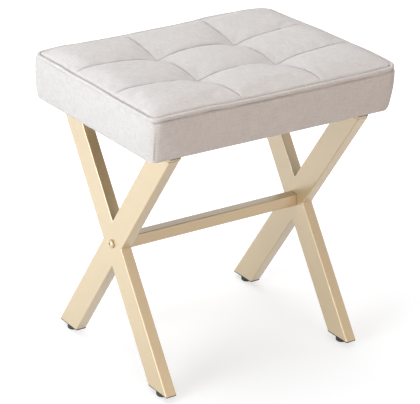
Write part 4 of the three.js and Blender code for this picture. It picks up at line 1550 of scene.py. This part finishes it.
small_low, small_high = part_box("seat_bolt_front_left")
washer_low, washer_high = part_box("seat_washer_front_left")
bolt_head_seat = washer_low.z - head_gap
small_radius = (small_high.x - small_low.x) / 2
small_head = bolt_head_seat - small_low.z
small_length = small_high.z - bolt_head_seat
small_shape = button_bolt(
    small_radius, small_flat, small_head, small_socket, small_socket, small_shank, small_length
)
small_bolt = make_piece("small_bolt", *small_shape, zinc_plate)
small_bolt.data.transform(Matrix.Rotation(math.pi, 4, "X"))
washer_radius = (washer_high.x - washer_low.x) / 2
washer_half = (washer_high.z - washer_low.z) / 2
profile = [
    (washer_hole, -washer_half),
    (washer_radius - washer_ease, -washer_half),
    (washer_radius, washer_ease - washer_half),
]
profile += [(radius, -height) for radius, height in reversed(profile)]
washer = make_piece("washer", *loft(turned(profile, turned_sides), wrapped=True), zinc_plate)
point_tree = make_copy_tree("copies on points", False)
bolt_places = []
for end, side in feet:
    low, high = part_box(f"seat_washer_{end}_{side}")
    bolt_places.append(((low.x + high.x) / 2, (low.y + high.y) / 2))
for name, pattern, height, node in (
    ("seat_bolts", small_bolt, bolt_head_seat, "seat_bolt"),
    ("seat_washers", washer, (washer_low.z + washer_high.z) / 2, "seat_washer"),
):
    points = ([(x, y, height) for x, y in bolt_places], [], [])
    piece = run_tree(name, point_tree, points, pattern, zinc_plate, 3)
    piece.data.set_sharp_from_angle(angle=math.radians(35))
    hide_pattern(pattern)
    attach(piece, "stool")
    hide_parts(*[f"{node}_{end}_{side}" for end, side in feet])

# Floor and light
# A plain pale floor, white to the camera far from the stool and greyer near it: its glow is painted lower
# there, a painted shadow round the stool's real shadow. A large soft lamp stands
# at the left, a weaker one hangs above, a weak warm one stands in front, and the surround is pale.

floor_half = 12.0
painted_shadow_middle = (0.2, -0.3, 0)
painted_shadow_reach = (0.45, 1.15)  # the floor's glow rises from the first level to the second over this; the lower glow is painted shadow
painted_shadow_glow = (0.62, 1.0)
backdrop_way = (0.6, 0.8, 0)
lamp_aim = Vector((0, 0, 0.25))
lamps = (  # name, place, size, power in watts and colour
    ("key", (-3.0, -0.3, 0.85), 1.8, 95, (0.89, 0.95, 1.0)),
    ("top", (-0.2, 0.5, 2.8), 2.4, 52, (0.94, 0.96, 1.0)),
    ("fill", (0.4, -2.95, 0.7), 1.6, 36, (1.0, 0.84, 0.74)),
)

floor_mesh = bpy.data.meshes.new("floor")
floor_rim = [(-floor_half * sign_x, -floor_half * sign_y, 0) for sign_x, sign_y in corner_signs]
floor_mesh.from_pydata(floor_rim, [], [(0, 1, 2, 3)])
floor = bpy.data.objects.new("floor", floor_mesh)
bpy.context.collection.objects.link(floor)
floor_paint, floor_tree, floor_shader, floor_place = start_material("pale_floor", Roughness=0.9)
floor_shader.inputs["Base Color"].default_value = (0.5, 0.5, 0.5, 1)
floor_shader.inputs["Emission Color"].default_value = (1, 1, 1, 1)
floor_mesh.materials.append(floor_paint)

world = bpy.data.worlds.new("studio")
bpy.context.scene.world = world
world.use_nodes = True
world_tree = world.node_tree
surround = world_tree.nodes["Background"]
surround.inputs["Color"].default_value = (1, 1, 1, 1)


def seen_directly(tree):
    """1 for the rays that see the background itself or its mirror image, and 0 for the rest."""
    path = add_node(tree, "ShaderNodeLightPath", None, None)
    mirrored = combine(tree, "MAXIMUM", path["Is Glossy Ray"], path["Is Transmission Ray"])
    return combine(tree, "MAXIMUM", path["Is Camera Ray"], mirrored)


# Painted shadow: the floor's glow is lower nearer a point beside the stool, so the floor is greyer there.
ends_of_way = {0: floor_place, 1: painted_shadow_middle}
from_painted_shadow = add_node(floor_tree, "ShaderNodeVectorMath", ends_of_way, "Value", operation="DISTANCE")
painted_shadow_paleness = spread_range(floor_tree, from_painted_shadow, *painted_shadow_reach, *painted_shadow_glow)
floor_glow_and_painted_shadow = combine(floor_tree, "MULTIPLY", seen_directly(floor_tree), painted_shadow_paleness)
floor_tree.links.new(floor_glow_and_painted_shadow, floor_shader.inputs["Emission Strength"])
view_way = add_node(world_tree, "ShaderNodeTexCoord", out="Generated")
turned_back = {0: view_way, 1: backdrop_way}
backwards = add_node(world_tree, "ShaderNodeVectorMath", turned_back, "Value", operation="DOT_PRODUCT")
backdrop = spread_range(world_tree, backwards, 0.0, 0.8, 0.0, 0.8)
surround_level = combine(world_tree, "MAXIMUM", seen_directly(world_tree), backdrop)
world_tree.links.new(surround_level, surround.inputs["Strength"])
for name, place, size, power, colour in lamps:
    light = bpy.data.lights.new(name, "AREA")
    light.shape = "SQUARE"
    light.size = size
    light.energy = power
    light.color = colour
    lamp = bpy.data.objects.new(name, light)
    lamp.location = place
    lamp.rotation_mode = "QUATERNION"
    lamp.rotation_quaternion = (lamp_aim - Vector(place)).to_track_quat("-Z", "Y")
    bpy.context.collection.objects.link(lamp)

# Camera
# A long lens from the front left, a little above, rolled slightly as the photograph is.

view_azimuth = math.radians(-35.172)
view_elevation = math.radians(23.256)
view_roll = math.radians(1.689)
view_distance = 3.0367
view_target = Vector((-0.00558, -0.00575, 0.23735))
photo_width_px = 420
focal_px = 1924.663

camera_data = bpy.data.cameras.new("camera")
camera_data.sensor_width = 36
camera_data.lens = camera_data.sensor_width * focal_px / photo_width_px
camera = bpy.data.objects.new("camera", camera_data)
bpy.context.collection.objects.link(camera)
level_away = math.cos(view_elevation)
away = Vector((math.sin(view_azimuth) * level_away, -math.cos(view_azimuth) * level_away, 0))
away.z = math.sin(view_elevation)
level_right = (-away).cross(Vector((0, 0, 1))).normalized()
level_up = level_right.cross(-away)
right = level_right * math.cos(view_roll) + level_up * math.sin(view_roll)
up = level_up * math.cos(view_roll) - level_right * math.sin(view_roll)
camera.rotation_mode = "QUATERNION"
camera.rotation_quaternion = Matrix((right, up, away)).transposed().to_quaternion()
camera.location = view_target + away * view_distance
bpy.context.scene.camera = camera
bpy.context.scene.view_settings.view_transform = "Standard"

bpy.context.view_layer.update()
